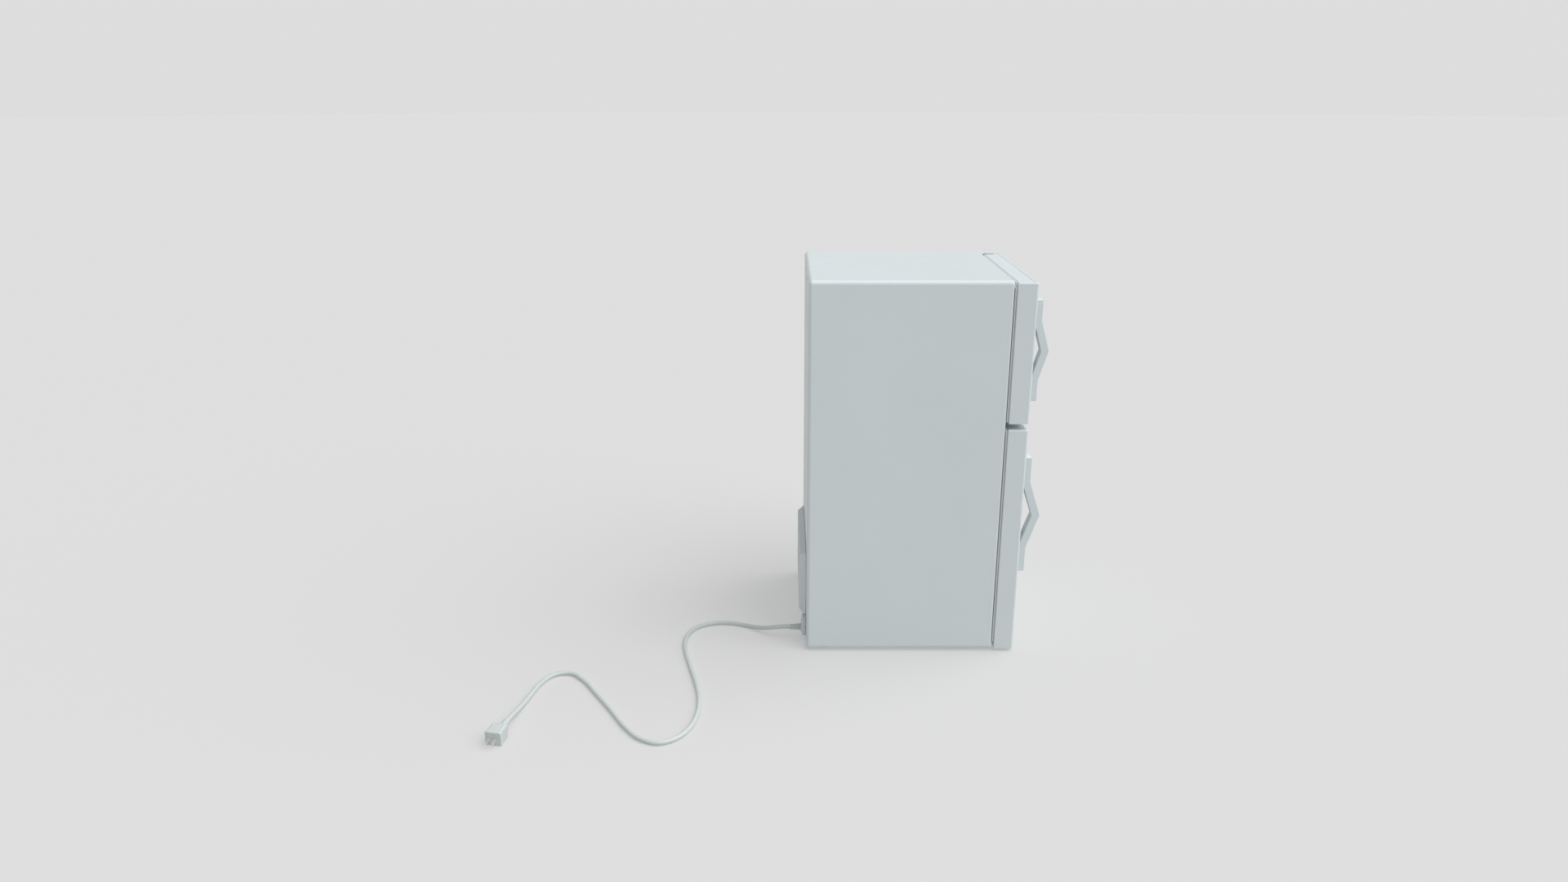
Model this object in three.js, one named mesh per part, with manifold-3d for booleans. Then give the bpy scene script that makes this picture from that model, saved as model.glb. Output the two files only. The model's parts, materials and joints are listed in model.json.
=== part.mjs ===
// A compact two-door refrigerator: a freezer above a fresh-food compartment, with right-hand hinges,
// chevron pull handles, a covered compressor bay low in the back and a mains lead with a two-blade plug.
// Millimetres, +Z up. The front faces -Y, and the origin is on the floor under the middle of the object.

import * as THREE from "three";
import { mergeVertices } from "three/addons/utils/BufferGeometryUtils.js";
import Module from "manifold-3d";

const wasm = await Module();
wasm.setup();

// ---- Driving dimensions -------------------------------------------------------------------------

const width = 430;
const cabinetHeight = 850;
const cabinetDepth = 425;
const footClearance = 6;
const doorGap = 6;
const doorThickness = 44;
const doorSplit = 540.5; // height of the middle of the gap between the doors
const splitGap = 13;

const steel = 1.2; // sheet thickness of the outer case
const plastic = 2; // sheet thickness of the liners
const seat = 0.3; // clearance between two pieces that sit against each other
const insulation = 43;
const backInsulation = 52;

const halfWidth = width / 2;
const baseZ = footClearance;
const topZ = baseZ + cabinetHeight;

const upperHandle = { centreZ: 703, halfLength: 109.5, halfBow: 65, pad: 16, peak: 35 };
const lowerHandle = { centreZ: 329, halfLength: 135, halfBow: 78, pad: 17, peak: 43 };
const coverProud = 15.6;

const depthOverall = cabinetDepth + doorGap + doorThickness + lowerHandle.peak + coverProud;
const backY = depthOverall / 2 - coverProud;
const frontY = backY - cabinetDepth;
const doorBackY = frontY - doorGap;
const doorFrontY = doorBackY - doorThickness;

const pivot = new THREE.Vector2(halfWidth - 15, doorBackY - 20);
const pinRadius = 4;
const pinBoreRadius = 4.3;
const topHinge = { left: pivot.x - 22, right: pivot.x + 6, back: frontY + 50 };
const capThickness = 12;

const hingePlate = 2.2;
const topHingeHigh = topZ - steel - seat;
const freezerDoor = { low: doorSplit + splitGap / 2, high: topHingeHigh - hingePlate - 0.5 };
const fridgeDoor = { low: baseZ + 1, high: doorSplit - splitGap / 2 };

const flange = 28; // width of the steel front flange that the door gaskets close on
const lipHalfWidth = halfWidth - flange - seat; // half width of what fits between the side flanges
const mullion = { low: doorSplit - 22, high: doorSplit + 22 };
const cavityHalfWidth = halfWidth - insulation;
const freezerCavity = { low: mullion.high + 3.5, high: topZ - 47, back: backY - backInsulation };
const fridgeCavity = { low: baseZ + 50, high: mullion.low - 3.5, back: backY - backInsulation };

const bay = { front: backY - 150, top: 262 }; // the compressor bay
const humpFront = bay.front - 35; // the step that the bay makes in the fresh-food liner
const humpTop = bay.top + 30;

// ---- Materials ----------------------------------------------------------------------------------

function finish(color, roughness, metalness = 0) {
  return new THREE.MeshStandardMaterial({ color, roughness, metalness });
}

const paint = finish(0xdfe8ea, 0.42);
const handlePlastic = finish(0xdde6e8, 0.5);
const linerPlastic = finish(0xf2f5f5, 0.35);
const foam = finish(0xe8dcae, 0.95);
const zinc = finish(0xb9bcbe, 0.4, 1);
const vinyl = finish(0xd2d8d9, 0.6);
const blackRubber = finish(0x26272a, 0.8);
const glass = finish(0xcfe5df, 0.05);
const clearPlastic = finish(0xdfeaf0, 0.15);
const compressorPaint = finish(0x1d1f22, 0.45, 0.3);
const copper = finish(0xb87349, 0.35, 1);
const aluminium = finish(0xc5c9cc, 0.45, 1);
const cordVinyl = finish(0xe4ecec, 0.45);
const blackPlastic = finish(0x2b2d30, 0.6);

// ---- Shapes and booleans ------------------------------------------------------------------------

function box([x0, x1], [y0, y1], [z0, z1]) {
  const geometry = new THREE.BoxGeometry(x1 - x0, y1 - y0, z1 - z0);
  return geometry.translate((x0 + x1) / 2, (y0 + y1) / 2, (z0 + z1) / 2);
}

// Extrudes an outline along an axis. The outline's points are (x, y) for Z, (y, z) for X and (x, z) for Y.
function prism(outline, axis, [from, to]) {
  const isShape = outline instanceof THREE.Shape;
  const shape = isShape ? outline : new THREE.Shape(outline.map(([a, b]) => new THREE.Vector2(a, b)));
  const geometry = new THREE.ExtrudeGeometry(shape, {
    depth: to - from,
    bevelEnabled: false,
    curveSegments: 4,
  });
  geometry.translate(0, 0, from);
  const basis = new THREE.Matrix4();
  if (axis === "X") basis.set(0, 0, 1, 0, 1, 0, 0, 0, 0, 1, 0, 0, 0, 0, 0, 1);
  if (axis === "Y") basis.set(1, 0, 0, 0, 0, 0, 1, 0, 0, 1, 0, 0, 0, 0, 0, 1);
  geometry.applyMatrix4(basis);
  return axis === "Y" ? flipped(geometry) : geometry;
}

// Turns every face round, after a matrix that mirrors.
function flipped(geometry) {
  const source = geometry.index ? geometry.toNonIndexed() : geometry;
  const position = source.getAttribute("position");
  const out = new Float32Array(position.array.length);
  for (let i = 0; i < position.count; i += 3) {
    for (const [to, from] of [[0, 0], [1, 2], [2, 1]]) {
      out.set([position.getX(i + from), position.getY(i + from), position.getZ(i + from)], (i + to) * 3);
    }
  }
  return new THREE.BufferGeometry().setAttribute("position", new THREE.BufferAttribute(out, 3));
}

function rectangle([x0, x1], [y0, y1], radius = 0) {
  const shape = new THREE.Shape();
  if (!radius) {
    shape.moveTo(x0, y0).lineTo(x1, y0).lineTo(x1, y1).lineTo(x0, y1).closePath();
    return shape;
  }
  shape.moveTo(x0 + radius, y0).lineTo(x1 - radius, y0);
  shape.absarc(x1 - radius, y0 + radius, radius, -Math.PI / 2, 0);
  shape.absarc(x1 - radius, y1 - radius, radius, 0, Math.PI / 2);
  shape.absarc(x0 + radius, y1 - radius, radius, Math.PI / 2, Math.PI);
  shape.absarc(x0 + radius, y0 + radius, radius, Math.PI, Math.PI * 1.5);
  return shape;
}

// A body of revolution about a vertical axis through (x, y). Each profile point is (radius, height).
function turned(profile, x, y, segments = 20) {
  const geometry = new THREE.LatheGeometry(profile.map(([r, z]) => new THREE.Vector2(r, z)), segments);
  return geometry.rotateX(Math.PI / 2).translate(x, y, 0);
}

function cylinder(radius, x, y, [z0, z1], segments = 20) {
  return turned([[0, z0], [radius, z0], [radius, z1], [0, z1]], x, y, segments);
}

function solid(geometry) {
  const bare = geometry.clone();
  bare.deleteAttribute("normal");
  bare.deleteAttribute("uv");
  const merged = mergeVertices(bare, 1e-4);
  return new wasm.Manifold(
    new wasm.Mesh({
      numProp: 3,
      vertProperties: merged.getAttribute("position").array,
      triVerts: new Uint32Array(merged.index.array),
    }),
  );
}

function surface(manifold) {
  const mesh = manifold.getMesh();
  const geometry = new THREE.BufferGeometry();
  geometry.setAttribute("position", new THREE.BufferAttribute(new Float32Array(mesh.vertProperties), 3));
  geometry.setIndex(new THREE.BufferAttribute(new Uint32Array(mesh.triVerts), 1));
  geometry.computeVertexNormals();
  return geometry;
}

function join(...pieces) {
  return surface(pieces.map(solid).reduce((sum, piece) => sum.add(piece)));
}

function cut(body, ...tools) {
  return surface(tools.map(solid).reduce((rest, tool) => rest.subtract(tool), solid(body)));
}

function common(a, b) {
  return surface(solid(a).intersect(solid(b)));
}

const fridge = new THREE.Group();

function add(name, geometry, material) {
  const mesh = new THREE.Mesh(geometry, material);
  mesh.name = name;
  fridge.add(mesh);
  return mesh;
}

// ---- Cabinet case -------------------------------------------------------------------------------

// The outline of the bent case sheet, seen from the front: two sides and a top with rounded corners.
function caseOutline(thickness) {
  const radius = 8;
  const inner = Math.max(radius - thickness, 0.5);
  const shape = new THREE.Shape();
  shape.moveTo(-halfWidth, baseZ).lineTo(-halfWidth + thickness, baseZ);
  shape.lineTo(-halfWidth + thickness, topZ - thickness - inner);
  shape.absarc(-halfWidth + thickness + inner, topZ - thickness - inner, inner, Math.PI, Math.PI / 2, true);
  shape.lineTo(halfWidth - thickness - inner, topZ - thickness);
  shape.absarc(halfWidth - thickness - inner, topZ - thickness - inner, inner, Math.PI / 2, 0, true);
  shape.lineTo(halfWidth - thickness, baseZ).lineTo(halfWidth, baseZ).lineTo(halfWidth, topZ - radius);
  shape.absarc(halfWidth - radius, topZ - radius, radius, 0, Math.PI / 2);
  shape.lineTo(-halfWidth + radius, topZ);
  shape.absarc(-halfWidth + radius, topZ - radius, radius, Math.PI / 2, Math.PI);
  return shape;
}

// The case sheet with its front flanges. The top hinge comes out through a slot in the top flange.
function outerShell() {
  const wrap = prism(caseOutline(steel), "Y", [frontY, backY]);
  const frontFlange = prism(caseOutline(flange), "Y", [frontY, frontY + steel]);
  const slotZ = [topHingeHigh - hingePlate - 0.5, topHingeHigh + 0.2];
  const slot = box([topHinge.left - 1, topHinge.right + 1], [frontY - 5, frontY + 5], slotZ);
  return cut(join(wrap, frontFlange), slot);
}

const caseInside = halfWidth - steel - seat;

// Wedges that trim the two top corners of a piece that fits inside the case's rounded corners.
function topCornerTrims([front, back]) {
  return [-1, 1].map((side) => {
    const corner = box([-8, 8], [front, back], [-8, 8]).rotateY(Math.PI / 4);
    return corner.translate(side * caseInside, 0, topZ - steel - seat);
  });
}

const cover = { half: 152, low: 58, high: 217 };
const bayOpening = { half: 130, low: 78, high: 202 };

function backPanel() {
  const panel = box([-caseInside, caseInside], [backY - steel, backY], [baseZ + 2, topZ - steel - seat]);
  const opening = box(
    [-bayOpening.half, bayOpening.half],
    [backY - 10, backY + 10],
    [bayOpening.low, bayOpening.high],
  );
  return cut(panel, opening, ...topCornerTrims([backY - 10, backY + 10]));
}

const foot = { radius: 15, x: 180, frontY: frontY + 72, rearY: backY - 30, stemRadius: 4, stemTop: 30 };
const feet = {
  front_left_foot: [-foot.x, foot.frontY],
  front_right_foot: [foot.x, foot.frontY],
  rear_left_foot: [-foot.x, foot.rearY],
  rear_right_foot: [foot.x, foot.rearY],
};

function basePan() {
  const sheet = 1.5;
  const plate = box(
    [-caseInside, caseInside],
    [frontY + steel + seat, backY - steel - seat],
    [baseZ, baseZ + sheet],
  );
  const across = [-lipHalfWidth, lipHalfWidth];
  const frontRail = box(across, [frontY, frontY + steel], [baseZ, fridgeCavity.low - 3]);
  const lip = box(across, [frontY, frontY + 8], [baseZ, baseZ + sheet]);
  const holes = Object.values(feet).map(([x, y]) => cylinder(4.4, x, y, [baseZ - 5, baseZ + 5], 16));
  return cut(join(plate, frontRail, lip), ...holes);
}

function footScrew([x, y]) {
  const { radius, stemRadius, stemTop } = foot;
  const profile = [
    [0, 0], [radius - 1, 0], [radius, 1], [radius, 4], [radius - 1.5, 5.4],
    [stemRadius, 5.4], [stemRadius, stemTop], [0, stemTop],
  ];
  return turned(profile, x, y, 16);
}

// ---- Liners and foam ----------------------------------------------------------------------------

const humpSteps = (grow) => [
  [fridgeCavity.low - grow, humpFront + grow],
  [humpTop - grow, fridgeCavity.back + grow],
];

// The fresh-food compartment's room, grown by a wall thickness. It steps round the compressor bay.
function fridgeRoom(grow, front) {
  const [[floorZ, lowBack], [ledgeZ, highBack]] = humpSteps(grow);
  const outline = [
    [front, floorZ], [lowBack, floorZ], [lowBack, ledgeZ],
    [highBack, ledgeZ], [highBack, fridgeCavity.high + grow], [front, fridgeCavity.high + grow],
  ];
  return prism(outline, "X", [-cavityHalfWidth - grow, cavityHalfWidth + grow]);
}

function freezerRoom(grow, front) {
  return box(
    [-cavityHalfWidth - grow, cavityHalfWidth + grow],
    [front, freezerCavity.back + grow],
    [freezerCavity.low - grow, freezerCavity.high + grow],
  );
}

function frontLip(low, high) {
  return box([-lipHalfWidth, lipHalfWidth], [frontY, frontY + plastic], [low, high]);
}

const button = { x: -180, z: 480, radius: 4, travel: 5 };
const shelfZ = { freezer: 690, glass: 386, crisper: humpTop + 2 };

function buttonHole(radius) {
  return cylinder(radius, 0, 0, [-24, 40], 16).rotateX(Math.PI / 2).translate(button.x, frontY, button.z);
}

// A pair of moulded ledges that a shelf slides on, one on each side wall.
function ledges(z, [front, back]) {
  const tops = [-1, 1].map((side) => {
    const wall = side * (cavityHalfWidth + 1);
    const edge = side * (cavityHalfWidth - 6);
    return box([Math.min(wall, edge), Math.max(wall, edge)], [front, back], [z - 6, z]);
  });
  return tops;
}

function freezerLiner() {
  const outer = join(freezerRoom(plastic, frontY), frontLip(mullion.high + seat, topZ - flange - seat));
  const tub = cut(outer, freezerRoom(0, frontY - 5));
  return join(tub, ...ledges(shelfZ.freezer - seat, [frontY + 25, freezerCavity.back]));
}

function fridgeLiner() {
  const lip = frontLip(fridgeCavity.low - 3 + seat, mullion.low - seat);
  const tub = cut(join(fridgeRoom(plastic, frontY), lip), fridgeRoom(0, frontY - 5), buttonHole(4.4));
  return join(
    tub,
    ...ledges(shelfZ.glass - seat, [frontY + 25, fridgeCavity.back]),
    ...ledges(shelfZ.crisper - seat, [frontY + 90, humpFront]),
  );
}

// The foam between case and liners. It is cut away for the compressor bay, the feet and the door switch.
function cabinetFoam() {
  const block = box(
    [-caseInside, caseInside],
    [frontY + plastic + seat, backY - steel - seat],
    [baseZ + 1.5 + seat, topZ - steel - seat],
  );
  const { left, right, back } = topHinge;
  const hingeRoom = box([left - 1, right + 1], [frontY, back + 1], [topHingeHigh - hingePlate - 0.5, topZ]);
  const bayRoom = box([-halfWidth, halfWidth], [bay.front, backY + 5], [0, bay.top]);
  const stemPockets = [feet.front_left_foot, feet.front_right_foot].map(([x, y]) =>
    cylinder(6, x, y, [0, foot.stemTop + 4], 12),
  );
  const clearance = plastic + seat;
  const room = [freezerRoom(clearance, frontY - 5), fridgeRoom(clearance, frontY - 5)];
  const railZ = [mullion.low - 1, mullion.high + 1];
  const rail = box([-lipHalfWidth - 2, lipHalfWidth + 2], [frontY, frontY + 14], railZ);
  const corners = topCornerTrims([frontY, backY]);
  return cut(block, ...room, bayRoom, rail, hingeRoom, ...stemPockets, buttonHole(6), ...corners);
}

// The painted rail between the two openings, a channel open to the back.
function mullionRail() {
  const outline = [
    [frontY, mullion.low], [frontY + 12, mullion.low], [frontY + 12, mullion.low + steel],
    [frontY + steel, mullion.low + steel], [frontY + steel, mullion.high - steel],
    [frontY + 12, mullion.high - steel], [frontY + 12, mullion.high], [frontY, mullion.high],
  ];
  return prism(outline, "X", [-lipHalfWidth, lipHalfWidth]);
}

// ---- Hinges -------------------------------------------------------------------------------------

const hingeNose = 9;

function pin([z0, z1]) {
  return cylinder(pinRadius, pivot.x, pivot.y, [z0, z1], 16);
}

// A flat hinge plate with a round nose over the pin. Its tail is fixed to the top or the bottom of the
// cabinet: at the top it lies under the case sheet, so that nothing stands above the case.
function flatHinge([z0, z1]) {
  const { left, right, back } = topHinge;
  const shape = new THREE.Shape();
  shape.moveTo(left, back).lineTo(left, frontY - 2);
  shape.lineTo(pivot.x - hingeNose, frontY - doorGap).lineTo(pivot.x - hingeNose, pivot.y);
  shape.absarc(pivot.x, pivot.y, hingeNose, Math.PI, Math.PI * 2);
  shape.lineTo(pivot.x + hingeNose, frontY - doorGap).lineTo(right, frontY - 2).lineTo(right, back);
  return prism(shape, "Z", [z0, z1]);
}

function topHingeBody() {
  const low = topHingeHigh - hingePlate;
  return join(flatHinge([low, topHingeHigh]), pin([freezerDoor.high - capThickness + 1, low + 1]));
}

function bottomHinge() {
  const high = baseZ - seat;
  return join(flatHinge([high - hingePlate, high]), pin([high - 1, fridgeDoor.low + capThickness - 1]));
}

function middleHinge() {
  const arm = prism(rectangle([pivot.x - 10, pivot.x + 10], [pivot.y - 10, frontY], 4), "Z", [
    doorSplit - 1.5,
    doorSplit + 1.5,
  ]);
  const leaf = box([halfWidth - flange + 2, halfWidth - 3], [frontY - 2.5 - seat, frontY - seat], [
    doorSplit - 5.5,
    doorSplit + 5.5,
  ]);
  const armKept = common(arm, box([0, halfWidth], [doorFrontY, frontY - seat], [0, topZ]));
  const reach = capThickness - 1;
  return join(armKept, leaf, pin([fridgeDoor.high - reach, freezerDoor.low + reach]));
}

// ---- Doors --------------------------------------------------------------------------------------

// The bent sheet of a door, seen from above: the front, both sides and the returns round the back.
function doorSkin({ low, high }) {
  const radius = 5;
  const inner = radius - steel;
  const returnWidth = 14;
  const [x, front, back] = [halfWidth, doorFrontY, doorBackY];
  const shape = new THREE.Shape();
  shape.moveTo(-x, back).lineTo(-x, front + radius);
  shape.absarc(-x + radius, front + radius, radius, Math.PI, Math.PI * 1.5);
  shape.lineTo(x - radius, front);
  shape.absarc(x - radius, front + radius, radius, -Math.PI / 2, 0);
  shape.lineTo(x, back).lineTo(x - returnWidth, back).lineTo(x - returnWidth, back - steel);
  shape.lineTo(x - steel, back - steel).lineTo(x - steel, front + radius);
  shape.absarc(x - radius, front + radius, inner, 0, -Math.PI / 2, true);
  shape.lineTo(-x + radius, front + steel);
  shape.absarc(-x + radius, front + radius, inner, Math.PI * 1.5, Math.PI, true);
  shape.lineTo(-x + steel, back - steel).lineTo(-x + returnWidth, back - steel);
  shape.lineTo(-x + returnWidth, back);
  return prism(shape, "Z", [low, high]);
}

// A block that fills a door's skin from side to side, as far back as the liner.
function doorFilling(span) {
  const half = halfWidth - steel - seat;
  const front = doorFrontY + steel + seat;
  return prism(rectangle([-half, half], [front, doorBackY - plastic - seat], 4), "Z", span);
}

function doorCap(z0) {
  const bore = cylinder(pinBoreRadius, pivot.x, pivot.y, [z0 - 5, z0 + capThickness + 5], 16);
  return cut(doorFilling([z0, z0 + capThickness]), bore);
}

const dyke = { half: 165, wall: 15, proud: 22 }; // the raised border that stands into the compartment
const binHalfWidth = dyke.half - dyke.wall - 3;

function ring([x, y], half, wall, [z0, z1]) {
  const outer = box([-half, half], [x, y], [z0, z1]);
  const inner = box([-half + wall, half - wall], [x - 1, y + 1], [z0 + wall, z1 - wall]);
  return cut(outer, inner);
}

function dykeSpan(room) {
  return [room.low + 8, room.high - 8];
}

function doorLiner(door, room, bins) {
  const half = halfWidth - 14 - seat;
  const tip = frontY + dyke.proud;
  const panel = box([-half, half], [doorBackY - plastic, doorBackY], [door.low + 1, door.high - 1]);
  const [z0, z1] = dykeSpan(room);
  const border = ring([doorBackY - 0.5, tip], dyke.half, dyke.wall, [z0, z1]);
  const hollow = ring(
    [doorBackY - plastic - 1, tip - plastic],
    dyke.half - plastic,
    dyke.wall - 2 * plastic,
    [z0 + plastic, z1 - plastic],
  );
  const binLedges = bins.flatMap(({ z }) =>
    [-1, 1].map((side) => {
      const wall = side * (dyke.half - dyke.wall + 0.5);
      const edge = side * (binHalfWidth - 5);
      return box([Math.min(wall, edge), Math.max(wall, edge)], [doorBackY - 0.5, tip - 4], [z - 5, z - seat]);
    }),
  );
  return join(cut(join(panel, border), hollow), ...binLedges);
}

function doorFoam(door, room) {
  const [z0, z1] = dykeSpan(room);
  const clearance = plastic + seat;
  const block = doorFilling([door.low + capThickness + seat, door.high - capThickness - seat]);
  const filling = ring(
    [doorBackY - clearance - 1, frontY + dyke.proud - clearance],
    dyke.half - clearance,
    dyke.wall - 2 * clearance,
    [z0 + clearance, z1 - clearance],
  );
  return join(block, filling);
}

const seal = { half: halfWidth - 16, bead: 12, lipHalf: halfWidth - 5, lipThick: 3 };

// A door's seal: a bead that closes on the cabinet's front, on a thin lip that lies against the door.
function gasket(span) {
  const { half, bead, lipHalf, lipThick } = seal;
  const root = doorBackY + seat;
  const lip = ring([root, root + lipThick], lipHalf, lipHalf - half + bead, span);
  return join(ring([root, frontY - seat], half, bead, span), lip);
}

// A chevron pull: two flat pads joined by a bowed strip, extruded across its width.
function handle({ centreZ, halfLength, halfBow, pad, peak }) {
  const slope = (peak - pad) / halfBow;
  const strip = pad * Math.hypot(1, slope);
  const innerPeak = peak - strip;
  const innerBow = innerPeak / slope;
  const outline = [
    [seat, halfLength], [seat, innerBow], [innerPeak, 0], [seat, -innerBow], [seat, -halfLength],
    [pad, -halfLength], [pad, -halfBow], [peak, 0], [pad, halfBow], [pad, halfLength],
  ];
  const placed = outline.map(([proud, z]) => [doorFrontY - proud, centreZ + z]);
  return prism(placed, "X", [-halfWidth + 20, -halfWidth + 45]);
}

// An open tray that hangs on the door, with a bottom and four walls.
function bin({ z, height, depth }) {
  const wall = 2;
  const [y0, y1] = [doorBackY + 1, frontY + depth];
  const body = prism(rectangle([-binHalfWidth, binHalfWidth], [y0, y1], 6), "Z", [z, z + height]);
  const room = prism(
    rectangle([-binHalfWidth + wall, binHalfWidth - wall], [y0 + wall, y1 - wall], 4),
    "Z",
    [z + wall, z + height + 5],
  );
  return cut(body, room);
}

const freezerBins = [{ name: "freezer_door_bin", z: 592, height: 62, depth: 70 }];
const fridgeBins = [
  { name: "fridge_door_top_bin", z: 412, height: 55, depth: 66 },
  { name: "fridge_door_middle_bin", z: 272, height: 70, depth: 70 },
  { name: "fridge_door_bottle_bin", z: 84, height: 105, depth: 74 },
];

function addDoor(prefix, door, room, gasketSpan, bins, handleShape) {
  add(`${prefix}_door_skin`, doorSkin(door), paint);
  add(`${prefix}_door_top_cap`, doorCap(door.high - capThickness), handlePlastic);
  add(`${prefix}_door_bottom_cap`, doorCap(door.low), handlePlastic);
  add(`${prefix}_door_foam`, doorFoam(door, room), foam);
  add(`${prefix}_door_liner`, doorLiner(door, room, bins), linerPlastic);
  add(`${prefix}_door_gasket`, gasket(gasketSpan), vinyl);
  add(`${prefix}_door_handle`, handle(handleShape), handlePlastic);
  for (const tray of bins) add(tray.name, bin(tray), clearPlastic);
}

// ---- Inside the compartments --------------------------------------------------------------------

// A wire shelf: a frame of rod, two cross rails under it and a row of thin wires.
function wireShelf() {
  const [x, y0, y1, z] = [cavityHalfWidth - 2, -102, 186, shelfZ.freezer];
  const rod = 5;
  const outer = box([-x, x], [y0, y1], [z, z + rod]);
  const frameRing = cut(outer, box([-x + rod, x - rod], [y0 + rod, y1 - rod], [z - 1, z + rod + 1]));
  const rails = [-60, 60].map((railX) => box([railX - 2, railX + 2], [y0 + 1, y1 - 1], [z, z + 3]));
  const count = 9;
  const wires = Array.from({ length: count }, (_, i) => {
    const y = y0 + ((y1 - y0) * (i + 1)) / (count + 1);
    return box([-x + 1, x - 1], [y - 1.5, y + 1.5], [z + 1.5, z + 4.5]);
  });
  return join(frameRing, ...rails, ...wires);
}

const glassShelf = { front: -80, back: 190, half: cavityHalfWidth - 2.5, thick: 4 };

function glassPane() {
  const { front, back, half, thick } = glassShelf;
  return box([-half, half], [front, back], [shelfZ.glass, shelfZ.glass + thick]);
}

// The plastic nose along the glass shelf's front edge.
function shelfTrim() {
  const { front, half, thick } = glassShelf;
  const z = shelfZ.glass;
  const outline = [
    [front - 5, z - 4], [front + 12, z - 4], [front + 12, z - seat], [front - seat, z - seat],
    [front - seat, z + thick + seat], [front + 12, z + thick + seat], [front + 12, z + thick + 2],
    [front - 5, z + thick + 2],
  ];
  return prism(outline, "X", [-half + 8, half - 8]);
}

function crisperCover() {
  const half = cavityHalfWidth - 2.5;
  return box([-half, half], [-64, 192], [shelfZ.crisper, shelfZ.crisper + 4]);
}

const drawer = {
  half: 158,
  front: -62,
  back: humpFront - 8,
  low: fridgeCavity.low + seat,
  high: 280,
  wall: 2.5,
};

function crisperDrawer() {
  const { half, front, back, low, high, wall } = drawer;
  const body = prism(rectangle([-half, half], [front, back], 8), "Z", [low, high]);
  const room = prism(rectangle([-half + wall, half - wall], [front + wall, back - wall], 6), "Z", [
    low + wall,
    high + 5,
  ]);
  const grip = prism(
    [[front - 10, high - 16], [front + 1, high - 22], [front + 1, high - 4], [front - 10, high - 8]],
    "X",
    [-70, 70],
  );
  return join(cut(body, room), grip);
}

const control = { wallX: cavityHalfWidth - seat, faceX: cavityHalfWidth - 26, y: [-82, 78], z: [440, 506] };
const knob = { y: -44, z: 473, radius: 18, depth: 13 };

function thermostatHousing() {
  const outline = rectangle(control.y, control.z, 8);
  return prism(outline, "X", [control.faceX, control.wallX]);
}

function thermostatKnob() {
  const x = control.faceX - seat;
  const skirt = cylinder(knob.radius, 0, 0, [0, 4], 24);
  const grip = cylinder(knob.radius - 5, 0, 0, [3, knob.depth], 24);
  const pointer = box([-2, 2], [2, knob.radius - 2], [3, knob.depth - 2]);
  const body = join(skirt, grip, pointer);
  return body.rotateY(-Math.PI / 2).translate(x, knob.y, knob.z);
}

function lampLens() {
  const x = control.faceX - seat;
  const outline = rectangle([-6, 66], [450, 496], 6);
  return prism(outline, "X", [x - 9, x]);
}

function switchButton() {
  const length = 24;
  const tip = doorGap - 0.6;
  const body = cylinder(button.radius, 0, 0, [-length + tip, tip - 1], 16);
  const nose = cylinder(button.radius - 1.2, 0, 0, [tip - 2, tip], 16);
  return join(body, nose).rotateX(Math.PI / 2).translate(button.x, frontY, button.z);
}

function evaporatorPlate() {
  const y = freezerCavity.back - 10;
  const plate = box([-150, 150], [y, y + 2], [598, 786]);
  const studs = [-130, 130].flatMap((x) =>
    [612, 772].map((z) => box([x - 5, x + 5], [y + 1, freezerCavity.back - seat], [z - 5, z + 5])),
  );
  return join(plate, ...studs);
}

// ---- Compressor bay -----------------------------------------------------------------------------

const can = { x: 40, y: backY - 76, radius: 58, low: 36, high: 182 };
const mount = { halfX: 70, halfY: 48, low: 28, high: 31.2 };

function compressor() {
  const { x, y, radius: r, low, high } = can;
  const seam = (low + high) / 2 + 12;
  const profile = [
    [0, low - 6], [r - 20, low - 6], [r - 6, low + 4], [r, low + 24], [r, seam - 3], [r + 4, seam - 2],
    [r + 4, seam + 2], [r, seam + 3], [r, high - 34], [r - 8, high - 14], [r - 24, high - 2], [0, high],
  ];
  const plate = prism(
    rectangle([x - mount.halfX - 14, x + mount.halfX + 14], [y - mount.halfY - 12, y + mount.halfY + 12], 10),
    "Z",
    [mount.low, mount.high],
  );
  const holes = Object.values(grommets).map(([gx, gy]) => cylinder(9, gx, gy, [0, 60], 12));
  return cut(join(turned(profile, x, y, 22), plate), ...holes);
}

const grommets = {
  compressor_grommet_front_left: [can.x - mount.halfX, can.y - mount.halfY],
  compressor_grommet_front_right: [can.x + mount.halfX, can.y - mount.halfY],
  compressor_grommet_rear_left: [can.x - mount.halfX, can.y + mount.halfY],
  compressor_grommet_rear_right: [can.x + mount.halfX, can.y + mount.halfY],
};

function grommet([x, y]) {
  const floor = baseZ + 1.5 + seat;
  const profile = [
    [0, floor], [12, floor], [12, mount.low - seat], [8.5, mount.low - seat], [8.5, mount.high + seat],
    [11, mount.high + seat], [11, mount.high + 4], [0, mount.high + 4],
  ];
  return turned(profile, x, y, 12);
}

function relayBox() {
  const x = can.x - can.radius - 5;
  return prism(rectangle([x - 34, x], [can.y - 24, can.y + 24], 4), "Z", [90, 140]);
}

// A round tube along a smooth curve through the given points.
function tube(points, radius, sides, steps) {
  const path = new THREE.CatmullRomCurve3(points.map((point) => new THREE.Vector3(...point)));
  const section = new THREE.Shape(
    Array.from({ length: sides }, (_, i) => {
      const angle = (2 * Math.PI * i) / sides;
      return new THREE.Vector2(radius * Math.cos(angle), radius * Math.sin(angle));
    }),
  );
  return new THREE.ExtrudeGeometry(section, { steps, extrudePath: path, bevelEnabled: false });
}

const pipeRadius = 4;

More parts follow.
